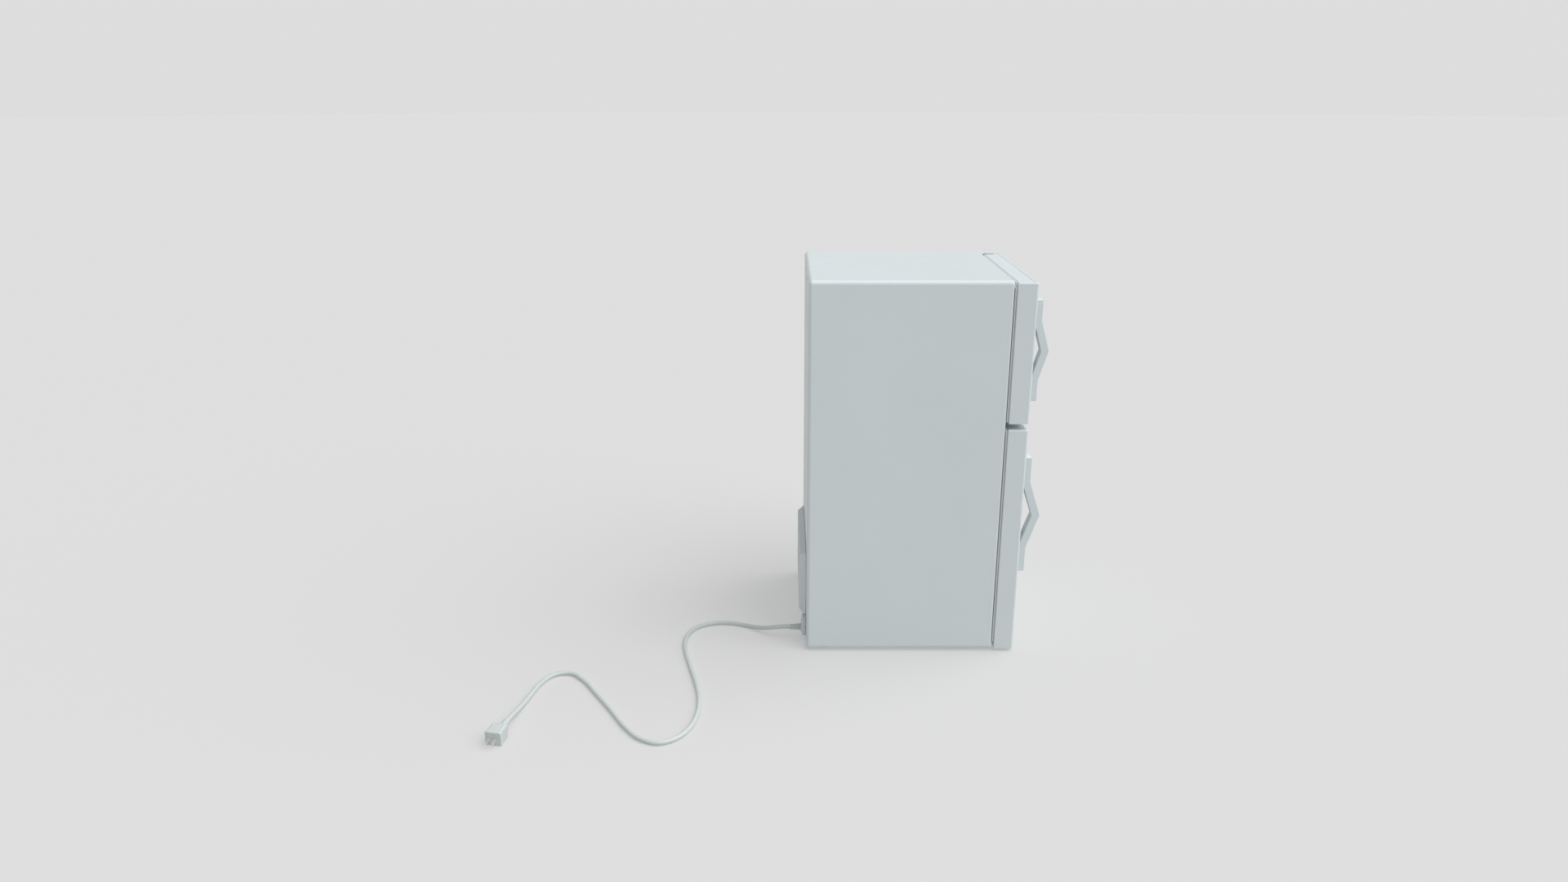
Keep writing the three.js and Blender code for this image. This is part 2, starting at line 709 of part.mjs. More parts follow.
// The wide pipe that brings the gas back: out of the can's side, up, and into the top of the bay.
function suctionLine() {
  const { x, y, radius } = can;
  const start = x + radius + seat;
  return tube(
    [
      [start, y, 98], [start + 10, y, 98], [start + 24, y, 106], [start + 30, y, 124],
      [start + 30, y - 4, 175], [start + 26, y - 20, 215], [start + 16, y - 38, 238],
      [start + 12, y - 44, bay.top - 2],
    ],
    pipeRadius, 8, 20,
  );
}

// The narrow pipe that takes the hot gas away: out of the can at an angle, and up beside the wide one.
function dischargeLine() {
  const { x, y, radius } = can;
  const angle = -0.74;
  const out = (distance) => [
    x + (radius + distance) * Math.cos(angle),
    y + (radius + distance) * Math.sin(angle),
  ];
  return tube(
    [
      [...out(seat), 76], [...out(8), 76], [...out(18), 80], [...out(27), 94],
      [...out(31), 125], [...out(33), 180], [...out(38), 220], [...out(40), bay.top - 2],
    ],
    pipeRadius - 1, 8, 18,
  );
}

function dripTray() {
  const [x, y, z] = [can.x, can.y, can.high + 2];
  const body = prism(rectangle([x - 64, x + 64], [y - 52, y + 52], 8), "Z", [z, z + 22]);
  const room = prism(rectangle([x - 62, x + 62], [y - 50, y + 50], 6), "Z", [z + 2, z + 30]);
  return cut(body, room);
}

// The cover over the bay: a shallow box with sloping edges, drawn in by an inset.
function coverForm(inset) {
  const [half, low, high] = [cover.half - inset, cover.low + inset, cover.high - inset];
  const base = backY + (inset ? -5 : seat);
  const rim = backY + 1.5 - inset;
  const face = backY + coverProud - inset;
  const side = [[base, low], [rim, low], [face, low + 10], [face, high - 7], [rim, high], [base, high]];
  const plan = [[-half, base], [half, base], [half, rim], [half - 15, face], [15 - half, face], [-half, rim]];
  return common(prism(side, "X", [-half - 5, half + 5]), prism(plan, "Z", [0, topZ]));
}

const louvre = { count: 7, pitch: 15, low: 92, half: 105, height: 5 };

function compressorCover() {
  const slots = Array.from({ length: louvre.count }, (_, i) => {
    const z = louvre.low + i * louvre.pitch;
    return box([-louvre.half, louvre.half], [backY + 8, backY + 30], [z, z + louvre.height]);
  });
  return cut(coverForm(0), coverForm(1.8), ...slots);
}

// ---- Mains lead ---------------------------------------------------------------------------------

const cordRadius = 5;
const exit = { x: -152, z: 30, glandBack: backY + 10 };
const reliefEnd = exit.glandBack + seat + 30;

function cordGland() {
  const outline = rectangle([exit.x - 18, exit.x + 18], [15, 57], 3);
  return prism(outline, "Y", [backY + seat, exit.glandBack]);
}

function strainRelief() {
  const length = reliefEnd - exit.glandBack - seat;
  const profile = [[0, 0], [9, 0], [9, 3], [7.6, 4.5], [6, length], [0, length]];
  const body = turned(profile, 0, 0, 16);
  return body.rotateX(-Math.PI / 2).translate(exit.x, exit.glandBack + seat, exit.z);
}

const plug = {
  nose: new THREE.Vector3(-589, 875, 15), // the middle of the face that carries the blades
  heading: THREE.MathUtils.degToRad(169.5), // the way the blades point, round from +X
  length: 66,
};

// The lead leaves the relief, comes down to the floor and lies there in loose curves as far as the plug.
const lying = cordRadius + 0.1;
const cordRoute = [
  [exit.x, reliefEnd + seat, exit.z], [exit.x, 305, exit.z], [-147, 326, 25.5], [-133.5, 349, 16.8],
  [-115, 373, 8.8], [-99, 398, 5.4], [-89, 427, lying], [-87, 457, lying], [-94, 487, lying],
  [-113, 513, lying], [-144, 529, lying], [-182, 533.5, lying], [-225, 528, lying], [-300, 510, lying],
  [-371, 492, lying], [-429, 482, lying], [-484, 482, lying], [-533, 493, lying], [-571, 517, lying],
  [-587, 551, lying], [-572, 589, lying], [-530, 625, lying], [-466, 664, lying], [-410, 700, lying],
  [-352, 739, lying], [-322, 773, lying], [-328, 808, lying], [-366, 831, lying], [-419, 843, 5.5],
  [-468, 852.5, 8.5], [-500, 858.5, 13], [-523.9, 863, 15],
];

// The body of the plug as rings of one rounded outline, from the lead's end to the face with the blades.
function plugBody() {
  const stations = [
    // distance from the lead's end, half width, half height, corner radius
    [0.3, 6, 6, 5.9], [22, 8.5, 8.5, 8.4], [25, 10, 10, 7], [29, 14.5, 13.5, 6],
    [40, 16, 14.4, 5], [62, 17, 15, 4], [66, 16.4, 14.4, 3.4],
  ];
  const perCorner = 4;
  const rings = stations.map(([along, a, b, r]) => {
    const points = [];
    const corners = [[a - r, b - r], [r - a, b - r], [r - a, r - b], [a - r, r - b]];
    for (const [quarter, [cx, cy]] of corners.entries()) {
      for (let i = 0; i < perCorner; i++) {
        const angle = ((quarter + i / (perCorner - 1)) * Math.PI) / 2;
        points.push([along, cx + r * Math.cos(angle), cy + r * Math.sin(angle)]);
      }
    }
    return points;
  });
  return skinned(rings);
}

// Joins rings of points into one closed body, with a fan over each end.
function skinned(rings) {
  const count = rings[0].length;
  const vertices = rings.flat();
  const index = [];
  for (let r = 0; r + 1 < rings.length; r++) {
    for (let i = 0; i < count; i++) {
      const [a, b] = [r * count + i, r * count + ((i + 1) % count)];
      index.push(a, b, b + count, a, b + count, a + count);
    }
  }
  for (const [ring, reverse] of [[0, true], [rings.length - 1, false]]) {
    const centre = vertices.length;
    const points = rings[ring];
    vertices.push([0, 1, 2].map((k) => points.reduce((sum, p) => sum + p[k], 0) / count));
    for (let i = 0; i < count; i++) {
      const [a, b] = [ring * count + i, ring * count + ((i + 1) % count)];
      index.push(centre, ...(reverse ? [b, a] : [a, b]));
    }
  }
  const geometry = new THREE.BufferGeometry();
  geometry.setAttribute("position", new THREE.Float32BufferAttribute(vertices.flat(), 3));
  geometry.setIndex(index);
  return geometry;
}

// Moves a geometry made along +X, starting at the lead's end, to where the plug lies.
function onPlug(geometry) {
  const { nose, heading, length } = plug;
  return geometry.translate(-length, 0, 0).rotateZ(heading).translate(nose.x, nose.y, nose.z);
}

const blade = { spacing: 12.7, length: 17, height: 6.35, thick: 1.5 };

function plugBlade(side) {
  const y = (side * blade.spacing) / 2;
  const start = plug.length + seat;
  return onPlug(
    box([start, start + blade.length], [y - blade.thick / 2, y + blade.thick / 2], [
      -blade.height / 2,
      blade.height / 2,
    ]),
  );
}

// ---- Assembly -----------------------------------------------------------------------------------

add("outer_shell", outerShell(), paint);
add("back_panel", backPanel(), paint);
add("base_pan", basePan(), paint);
add("cabinet_foam", cabinetFoam(), foam);
add("freezer_liner", freezerLiner(), linerPlastic);
add("fridge_liner", fridgeLiner(), linerPlastic);
add("mullion_rail", mullionRail(), paint);
add("top_hinge", topHingeBody(), paint);
add("middle_hinge", middleHinge(), zinc);
add("bottom_hinge", bottomHinge(), zinc);
for (const [name, place] of Object.entries(feet)) add(name, footScrew(place), blackPlastic);

addDoor("freezer", freezerDoor, freezerCavity, [freezerDoor.low + 1.5, 842], freezerBins, upperHandle);
addDoor("fridge", fridgeDoor, fridgeCavity, [20, fridgeDoor.high - 1.5], fridgeBins, lowerHandle);

add("freezer_shelf", wireShelf(), finish(0xeef2f3, 0.35));
add("evaporator_plate", evaporatorPlate(), aluminium);
add("glass_shelf", glassPane(), glass);
add("glass_shelf_trim", shelfTrim(), linerPlastic);
add("crisper_cover", crisperCover(), glass);
add("crisper_drawer", crisperDrawer(), clearPlastic);
add("thermostat_housing", thermostatHousing(), linerPlastic);
add("thermostat_knob", thermostatKnob(), handlePlastic);
add("lamp_lens", lampLens(), clearPlastic);
add("light_switch_button", switchButton(), linerPlastic);

add("compressor", compressor(), compressorPaint);
for (const [name, place] of Object.entries(grommets)) add(name, grommet(place), blackRubber);
add("start_relay_box", relayBox(), blackPlastic);
add("suction_line", suctionLine(), copper);
add("discharge_line", dischargeLine(), copper);
add("drip_tray", dripTray(), blackPlastic);
add("compressor_cover", compressorCover(), paint);

add("cord_gland", cordGland(), handlePlastic);
add("cord_strain_relief", strainRelief(), cordVinyl);
add("power_cord", tube(cordRoute, cordRadius, 8, 78), cordVinyl);
add("plug_body", onPlug(plugBody()), cordVinyl);
add("plug_blade_left", plugBlade(-1), zinc);
add("plug_blade_right", plugBlade(1), zinc);

export default fridge;
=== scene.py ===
import json
from math import atan2, cos, hypot, pi, radians, sin

import bmesh
import bpy
from mathutils import Matrix, Vector


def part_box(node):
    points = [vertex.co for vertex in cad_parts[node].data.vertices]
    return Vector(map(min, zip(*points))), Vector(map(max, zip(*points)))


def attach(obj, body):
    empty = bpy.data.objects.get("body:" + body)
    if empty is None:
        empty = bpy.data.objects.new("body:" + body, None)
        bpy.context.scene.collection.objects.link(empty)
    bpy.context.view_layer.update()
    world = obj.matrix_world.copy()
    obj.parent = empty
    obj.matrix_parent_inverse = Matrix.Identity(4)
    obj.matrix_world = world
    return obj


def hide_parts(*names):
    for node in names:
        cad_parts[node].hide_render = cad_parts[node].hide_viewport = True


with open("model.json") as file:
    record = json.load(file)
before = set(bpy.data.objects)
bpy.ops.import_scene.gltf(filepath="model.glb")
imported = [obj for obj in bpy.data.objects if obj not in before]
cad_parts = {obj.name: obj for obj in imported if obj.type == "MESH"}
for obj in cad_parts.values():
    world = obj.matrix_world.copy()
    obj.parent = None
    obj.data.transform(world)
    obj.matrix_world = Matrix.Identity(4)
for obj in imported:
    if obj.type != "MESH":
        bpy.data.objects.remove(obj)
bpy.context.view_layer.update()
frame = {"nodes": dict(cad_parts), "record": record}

# Shapes below are worked out in millimetres, and become metres when a mesh is made.
MM = 0.001

record = frame["record"]
body_of = {node: body for body, names in record["behaviour"]["bodies"].items() for node in names}
slot_of = {part["node"]: part["material_slot"] for part in record["subparts"]}
replaced = set()


def span(node):
    """The lowest and highest corners of a CAD node, in millimetres."""
    low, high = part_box(node)
    return low / MM, high / MM


def limits(node):
    """A CAD node's (low, high) limits in x, y and z, in millimetres."""
    return list(zip(*span(node)))


def middle(pair):
    return (pair[0] + pair[1]) / 2


case_low, case_high = span("outer_shell")
front_y, back_y = case_low.y, case_high.y
half_width = case_high.x
top_z = case_high.z


# ---- Camera ----

CAMERA_DISTANCE = 2191  # from the camera to the cabinet's near side, level
CAMERA_HEIGHT = 1228
CAMERA_BEHIND_BACK = 51  # how far the camera stands behind the plane of the cabinet's back
CAMERA_PITCH = 18.15  # degrees below the horizon
CAMERA_LENS = 24.56


def make_camera():
    data = bpy.data.cameras.new("camera")
    data.lens = CAMERA_LENS
    data.sensor_width = 36
    data.clip_end = 100
    camera = bpy.data.objects.new("camera", data)
    bpy.context.scene.collection.objects.link(camera)
    place = (-half_width - CAMERA_DISTANCE, back_y + CAMERA_BEHIND_BACK, CAMERA_HEIGHT)
    camera.location = Vector(place) * MM
    camera.rotation_euler = (radians(90 - CAMERA_PITCH), 0, radians(-90))
    bpy.context.scene.camera = camera


make_camera()


# ---- Materials ----

def linear(red, green, blue):
    """A colour given as 0 to 255 in sRGB, as Blender's linear colour."""
    values = [v / 255 for v in (red, green, blue)]
    return tuple(v / 12.92 if v <= 0.04045 else ((v + 0.055) / 1.055) ** 2.4 for v in values) + (1,)


def add_node(tree, kind, **inputs):
    """A shader node. Its inputs are given as values, or as the outputs that they are linked to."""
    node = tree.nodes.new(kind)
    set_inputs(tree, node, **inputs)
    return node


def set_inputs(tree, node, **inputs):
    for name, value in inputs.items():
        socket = node.inputs[name.replace("_", " ")]
        if isinstance(value, bpy.types.NodeSocket):
            tree.links.new(value, socket)
        else:
            socket.default_value = value


class Finish:
    """A procedural material: a principled shader with noise on its colour, roughness and surface."""

    def __init__(self, name, colour, roughness, metallic=0.0, **inputs):
        self.material = bpy.data.materials.new(name)
        self.material.use_nodes = True
        self.tree = self.material.node_tree
        self.shader = self.tree.nodes["Principled BSDF"]
        self.colour = linear(*colour)
        self.set(Base_Color=self.colour, Roughness=roughness, Metallic=metallic, **inputs)
        self.place = self.add("ShaderNodeTexCoord").outputs["Object"]
        self.last_bump = None

    def add(self, kind, **inputs):
        return add_node(self.tree, kind, **inputs)

    def set(self, **inputs):
        set_inputs(self.tree, self.shader, **inputs)
        return self

    def noise(self, scale, detail, stretch=None):
        node = self.add("ShaderNodeTexNoise", Scale=scale, Detail=detail)
        place = self.place
        if stretch:
            place = self.add("ShaderNodeMapping", Scale=stretch, Vector=place).outputs["Vector"]
        set_inputs(self.tree, node, Vector=place)
        return node.outputs["Fac"]

    def pattern(self, source):
        """A pattern is another node's output, or a noise given as (scale, detail, stretch)."""
        return self.noise(*source) if isinstance(source, tuple) else source

    def cells(self, scale):
        return self.add("ShaderNodeTexVoronoi", Scale=scale, Vector=self.place)

    def ranged(self, source, low, high):
        """A value from low to high, over the middle part of a noise's range."""
        scope = {"From_Min": 0.3, "From_Max": 0.7, "To_Min": low, "To_Max": high}
        return self.add("ShaderNodeMapRange", Value=source, **scope).outputs["Result"]

    def tint(self, source, amount, towards=(0.35, 0.35, 0.33)):
        """Mixes the colour a little towards another where the source is high."""
        source = self.pattern(source)
        node = self.tree.nodes.new("ShaderNodeMix")
        node.data_type = "RGBA"
        set_inputs(self.tree, node, A=self.colour, B=(*towards, 1), Factor=self.ranged(source, 0.0, amount))
        return self.set(Base_Color=node.outputs["Result"])

    def gloss(self, source, low, high):
        return self.set(Roughness=self.ranged(self.pattern(source), low, high))

    def bump(self, source, height_mm, strength=1.0):
        source = self.pattern(source)
        node = self.add("ShaderNodeBump", Distance=height_mm * MM, Strength=strength, Height=source)
        if self.last_bump:
            set_inputs(self.tree, node, Normal=self.last_bump)
        self.last_bump = node.outputs["Normal"]
        return self.set(Normal=self.last_bump)


def painted_steel():
    """Baked enamel on sheet: orange peel, a faint waviness of the sheet, a little dust."""
    f = Finish("enamel", (209, 218, 220), 0.4, Specular_IOR_Level=0.45)
    f.bump((5, 1), 0.35, 0.5).bump((420, 2), 0.035)
    return f.tint((7, 4), 0.035).gloss((26, 5), 0.36, 0.47)


def door_trim_plastic():
    """Satin moulding with a fine spark-eroded grain."""
    f = Finish("trim_plastic", (209, 218, 220), 0.5, Specular_IOR_Level=0.4)
    f.bump((1500, 3), 0.03)
    return f.tint((40, 3), 0.03).gloss((90, 4), 0.45, 0.56)


def liner_plastic():
    """Vacuum-formed polystyrene: soft gloss and a slight unevenness where the sheet has stretched."""
    f = Finish("liner_plastic", (236, 240, 240), 0.4, Specular_IOR_Level=0.4)
    f.bump((6, 1), 0.2, 0.4).bump((700, 2), 0.01)
    return f.tint((11, 3), 0.03, (0.55, 0.58, 0.55)).gloss((33, 4), 0.36, 0.46)


def insulation_foam():
    f = Finish("foam", (226, 208, 150), 0.9)
    f.bump(f.cells(520).outputs["Distance"], 0.6).bump((30, 4), 1.2)
    return f.tint((18, 5), 0.35, (0.42, 0.27, 0.09))


def gasket_vinyl():
    """Soft magnetic seal: matt and a little dusty, with a rubbed sheen."""
    f = Finish("gasket_vinyl", (226, 231, 231), 0.58, Sheen_Weight=0.15)
    f.bump((900, 2), 0.02).bump((60, 2), 0.08)
    return f.tint((50, 4), 0.12).gloss((120, 3), 0.5, 0.66)


def clear_plastic():
    f = Finish("clear_plastic", (244, 249, 251), 0.1, Transmission_Weight=0.6, IOR=1.35)
    f.bump((25, 2), 0.05, 0.4)
    return f.tint((20, 2), 0.05, (0.6, 0.72, 0.78)).gloss((60, 5), 0.04, 0.14)


def shelf_glass():
    f = Finish("shelf_glass", (226, 244, 237), 0.03, Transmission_Weight=0.85, IOR=1.45)
    f.bump((9, 1), 0.02, 0.4)
    return f.tint((12, 2), 0.05, (0.35, 0.62, 0.52)).gloss((80, 5), 0.02, 0.08)


def coated_wire():
    f = Finish("coated_wire", (238, 242, 243), 0.34, Coat_Weight=0.2)
    f.bump((650, 2), 0.03)
    return f.tint((70, 3), 0.05).gloss((110, 3), 0.28, 0.42)


def zinc_steel():
    """Zinc plating: spangle in patches, fine rolling lines."""
    f = Finish("zinc", (176, 180, 183), 0.4, 1.0)
    patches = f.cells(240).outputs["Color"]
    f.bump((800, 2, (1, 14, 1)), 0.015)
    return f.tint(patches, 0.18, (0.30, 0.32, 0.36)).gloss((160, 4), 0.3, 0.52)


def black_plastic():
    f = Finish("black_plastic", (38, 39, 41), 0.55)
    f.bump((1200, 3), 0.04)
    return f.tint((60, 4), 0.08, (0.2, 0.2, 0.2)).gloss((80, 3), 0.48, 0.66)


def black_rubber():
    f = Finish("black_rubber", (27, 27, 28), 0.8, Sheen_Weight=0.1)
    f.bump((900, 3), 0.05)
    return f.tint((120, 4), 0.15, (0.25, 0.25, 0.24)).gloss((90, 3), 0.7, 0.9)


def compressor_paint():
    f = Finish("compressor_paint", (26, 27, 29), 0.4, Coat_Weight=0.2)
    f.bump((180, 3), 0.08)
    return f.tint((30, 5), 0.2, (0.16, 0.15, 0.14)).gloss((50, 4), 0.32, 0.55)


def copper_tube():
    f = Finish("copper", (196, 122, 88), 0.32, 1.0)
    f.bump((300, 2), 0.02)
    return f.tint((45, 5), 0.5, (0.22, 0.09, 0.05)).gloss((70, 4), 0.25, 0.5)


def evaporator_aluminium():
    f = Finish("aluminium", (205, 208, 211), 0.42, 1.0)
    f.bump((900, 2, (12, 1, 1)), 0.015)
    return f.tint((25, 4), 0.15, (0.5, 0.52, 0.55)).gloss((60, 4), 0.35, 0.55)


def cord_vinyl():
    """Extruded flex and its mouldings: satin, with a faint mottle from being handled."""
    f = Finish("cord_vinyl", (194, 201, 201), 0.42, Specular_IOR_Level=0.45)
    f.bump((700, 2), 0.02).bump((90, 2), 0.05)
    return f.tint((60, 4), 0.06).gloss((130, 3), 0.36, 0.5)


def nickel_blade():
    f = Finish("nickel", (222, 222, 220), 0.32, 0.55)
    f.bump((900, 2, (1, 1, 10)), 0.01)
    return f.tint((220, 3), 0.15, (0.45, 0.42, 0.36)).gloss((400, 3), 0.16, 0.34)


makers = [
    painted_steel, door_trim_plastic, liner_plastic, insulation_foam, gasket_vinyl, clear_plastic,
    shelf_glass, coated_wire, zinc_steel, black_plastic, black_rubber, compressor_paint, copper_tube,
    evaporator_aluminium, cord_vinyl, nickel_blade,
]
finishes = {maker.__name__: maker().material for maker in makers}


# ---- Outlines ----

def arc(centre, radius, start, end, steps=6):
    """Points on an arc, from one angle in degrees to another."""
    angles = [radians(start + (end - start) * i / steps) for i in range(steps + 1)]
    return [(centre[0] + radius * cos(a), centre[1] + radius * sin(a)) for a in angles]


def rounded(u, v, radius, steps=6):
    """A rounded rectangle, anticlockwise. u and v are its (low, high) limits."""
    r = max(radius, 0.05)
    corners = [(u[1] - r, v[1] - r), (u[0] + r, v[1] - r), (u[0] + r, v[0] + r), (u[1] - r, v[0] + r)]
    return [p for i, c in enumerate(corners) for p in arc(c, r, 90 * i, 90 * i + 90, steps)]


def mirrored(left):
    """An outline from its left half."""
    return left + [(-u, v) for u, v in reversed(left)]


def grown(pair, amount):
    """Limits moved apart by an amount on each side, or closer together if it is negative."""
    return (pair[0] - amount, pair[1] + amount)


def on_axis(axis, u, v, w):
    """The point at w along an axis, with u and v along the other two in turn."""
    return {"X": (w, u, v), "Y": (u, w, v), "Z": (u, v, w)}[axis]


def smooth_route(points, step):
    """Points about a step apart on the centripetal Catmull-Rom curve through the given ones."""
    p = [Vector(q) for q in points]
    p = [2 * p[0] - p[1], *p, 2 * p[-1] - p[-2]]
    route = []
    for a, b, c, d in zip(p, p[1:], p[2:], p[3:]):
        ab, bc, cd = ((y - x).length ** 0.5 for x, y in ((a, b), (b, c), (c, d)))
        start = ((b - a) / ab - (c - a) / (ab + bc) + (c - b) / bc) * bc
        end = ((c - b) / bc - (d - b) / (bc + cd) + (d - c) / cd) * bc
        count = max(2, round((c - b).length / step))
        for i in range(count):
            t = i / count
            route.append(
                b + start * t + (3 * (c - b) - 2 * start - end) * t**2
                + (2 * (b - c) + start + end) * t**3
            )
    return [*route, p[-2]]


# ---- Meshes ----

def loft_faces(ring_count, size, around=True, loop=False, ends=True):
    """Faces that join rings of points in turn, and close the first and the last ring if asked."""
    faces = []
    for r in range(ring_count if loop else ring_count - 1):
        low, high = r * size, (r + 1) % ring_count * size
        for i in range(size if around else size - 1):
            j = (i + 1) % size
            faces.append((low + i, low + j, high + j, high + i))
    if ends and not loop:
        faces.append(tuple(reversed(range(size))))
        faces.append(tuple((ring_count - 1) * size + i for i in range(size)))
    return faces


def finish_edges(obj, edge, steps):
    """Rounds the sharp edges and keeps flat faces flat in the shading."""
    if edge:
        bevel = obj.modifiers.new("edges", "BEVEL")
        bevel.width = edge * MM
        bevel.segments = steps
        bevel.limit_method = "ANGLE"
        bevel.angle_limit = radians(38)
        bevel.use_clamp_overlap = True
    normals = obj.modifiers.new("normals", "WEIGHTED_NORMAL")
    normals.keep_sharp = True


def object_from(work, name):
    for face in work.faces:
        face.smooth = True
    mesh = bpy.data.meshes.new(name)
    work.to_mesh(mesh)
    work.free()
    obj = bpy.data.objects.new(name, mesh)
    bpy.context.scene.collection.objects.link(obj)
    return obj


def make(name, points, faces, facing=None):
    """A mesh object from points in millimetres. An open surface says which way its last face looks."""
    mesh = bpy.data.meshes.new("points")
    mesh.from_pydata([Vector(p) * MM for p in points], [], faces)
    work = bmesh.new()
    work.from_mesh(mesh)
    bpy.data.meshes.remove(mesh)
    if facing is None:
        bmesh.ops.recalc_face_normals(work, faces=work.faces)
    else:
        work.faces.ensure_lookup_table()
        work.normal_update()
        if work.faces[-1].normal.dot(Vector(facing)) < 0:
            bmesh.ops.reverse_faces(work, faces=work.faces)
    return object_from(work, name)


def loft(name, rings, around=True, loop=False, ends=True, facing=None):
    """A mesh through rings of points."""
    faces = loft_faces(len(rings), len(rings[0]), around, loop, ends)
    return make(name, [p for ring in rings for p in ring], faces, facing)


def thicken(obj, sheet):
    """Gives an open surface the thickness of a sheet, behind the side it shows."""
    solid = obj.modifiers.new("sheet", "SOLIDIFY")
    solid.thickness = sheet * MM
    solid.offset = -1
    return obj


def round_off(obj, width, steps, angle):
    """Rounds an open surface's folds before it is made thick."""
    bevel = obj.modifiers.new("folds", "BEVEL")
    bevel.width = width * MM
    bevel.segments = steps
    bevel.limit_method = "ANGLE"
    bevel.angle_limit = radians(angle)
    return obj


def sharpen(obj, angle=32):
    """Marks the edges that stay sharp in the shading."""
    work = bmesh.new()
    work.from_mesh(obj.data)
    for e in work.edges:
        e.smooth = len(e.link_faces) == 2 and e.calc_face_angle(0) < radians(angle)
    work.to_mesh(obj.data)
    work.free()


def dress(obj, slot, edge=0.0, steps=3, body="cabinet"):
    """Gives a piece its edges, its material and the body that it moves with."""
    if not edge:
        sharpen(obj)
    finish_edges(obj, edge, steps)
    obj.data.materials.clear()
    obj.data.materials.append(finishes[slot])
    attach(obj, body)
    return obj


def stand_in(obj, *names, edge=0.0, steps=3):
    """Makes a piece take the place of CAD nodes, on their body and in their material."""
    dress(obj, slot_of[names[0]], edge, steps, body_of[names[0]])
    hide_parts(*names)
    replaced.update(names)
    return obj


def stack(name, axis, sections, loop=False, steps=6):
    """A body through rounded rectangles across an axis: (place, u limits, v limits, corner radius)."""
    rings = [[on_axis(axis, *p, w) for p in rounded(u, v, r, steps)] for w, u, v, r in sections]
    return loft(name, rings, loop=loop)


def slab(name, axis, places, u, v, radius, steps=6):
    """A body with the same rounded rectangle at each of its places along an axis."""
    return stack(name, axis, [(w, u, v, radius) for w in places], steps=steps)


def inset_sections(u, v, steps):
    """Sections for a stack from (place, inset, corner radius), all inside the same rectangle."""
    return [(w, grown(u, -inset), grown(v, -inset), r) for w, inset, r in steps]


def prism(name, axis, outline, places):
    return loft(name, [[on_axis(axis, *p, w) for p in outline] for w in places])


def turned(name, profile, centre, direction=(0, 0, 1), count=48, wave=None, loop=False):
    """A turned body. Its profile is (radius, distance along), and closes on itself when it is a loop."""
    turn = Vector(direction).to_track_quat("Z", "Y")
    rings = []
    for radius, along in profile:
        ring = []
        for i in range(count):
            angle = 2 * pi * i / count
            r = radius * (wave(angle, along) if wave else 1)
            ring.append(Vector(centre) + turn @ Vector((r * cos(angle), r * sin(angle), along)))
        rings.append(ring)
    return loft(name, rings, loop=loop)


def tube(name, route, radius, sides=16):
    """A round tube along a route, with its ends closed."""
    rings = []
    side = None
    for i, p in enumerate(route):
        ahead = (route[min(i + 1, len(route) - 1)] - route[max(i - 1, 0)]).normalized()
        if side is None:
            side = ahead.orthogonal().normalized()
        side = (side - ahead * side.dot(ahead)).normalized()
        other = ahead.cross(side)
        angles = [2 * pi * k / sides for k in range(sides)]
        rings.append([p + (side * cos(a) + other * sin(a)) * radius for a in angles])
    return loft(name, rings)


def cut_away(obj, *tools):
    """Cuts other meshes out of one, and removes them."""
    for tool in tools:
        cut = obj.modifiers.new("cut", "BOOLEAN")
        cut.operation = "DIFFERENCE"
        cut.solver = "EXACT"
        cut.object = tool
    apply_modifiers(obj)
    for tool in tools:
        bpy.data.objects.remove(tool)
    return obj


def apply_modifiers(obj):
    bpy.context.view_layer.update()
    shaped = obj.evaluated_get(bpy.context.evaluated_depsgraph_get())
    mesh = bpy.data.meshes.new_from_object(shaped)
    obj.modifiers.clear()
    old = obj.data
    obj.data = mesh
    mesh.name = old.name
    bpy.data.meshes.remove(old)
    return obj


# ---- Mains lead ----

relief_x, relief_y, relief_z = limits("cord_strain_relief")
exit_x, exit_z = middle(relief_x), middle(relief_z)
CORD_RADIUS = 5
LYING = CORD_RADIUS + 0.1  # the height of the lead's middle where it lies on the floor

CORD_ROUTE = [
    (exit_x, relief_y[1] + 0.3, exit_z), (exit_x, 305, exit_z), (-147, 326, 25.5), (-133.5, 349, 16.8),
    (-115, 373, 8.8), (-99, 398, 5.4), (-89, 427, LYING), (-87, 457, LYING), (-94, 487, LYING),
    (-113, 513, LYING), (-144, 529, LYING), (-182, 533.5, LYING), (-225, 528, LYING), (-300, 510, LYING),
    (-371, 492, LYING), (-429, 482, LYING), (-484, 482, LYING), (-533, 493, LYING), (-571, 517, LYING),
    (-587, 551, LYING), (-572, 589, LYING), (-530, 625, LYING), (-466, 664, LYING), (-410, 700, LYING),
    (-352, 739, LYING), (-322, 773, LYING), (-328, 808, LYING), (-366, 831, LYING), (-419, 843, 5.5),
    (-468, 852.5, 8.5), (-500, 858.5, 13), (-523.9, 863, 15),
]


def strain_relief():
    """A ribbed rubber boot that thins towards the lead."""
    start, length = relief_y[0], relief_y[1] - relief_y[0]
    profile = [(0.05, 0), (8.6, 0), (9, 0.4), (9, 2.6), (8.6, 3)]
    ribs = 5
    pitch = (length - 6) / ribs
    for i in range(ribs):
        at = 3.4 + i * pitch
        wide = 7.8 - 1.9 * i / ribs
        profile += [(wide - 0.9, at), (wide - 0.9, at + 1.4), (wide, at + 1.9), (wide, at + pitch - 0.5)]
    profile += [(5.6, length - 2), (5.25, length), (0.05, length)]
    boot = turned("strain_relief_boot", profile, (exit_x, start, exit_z), (0, 1, 0), 40)
    return stand_in(boot, "cord_strain_relief", edge=0.25, steps=2)


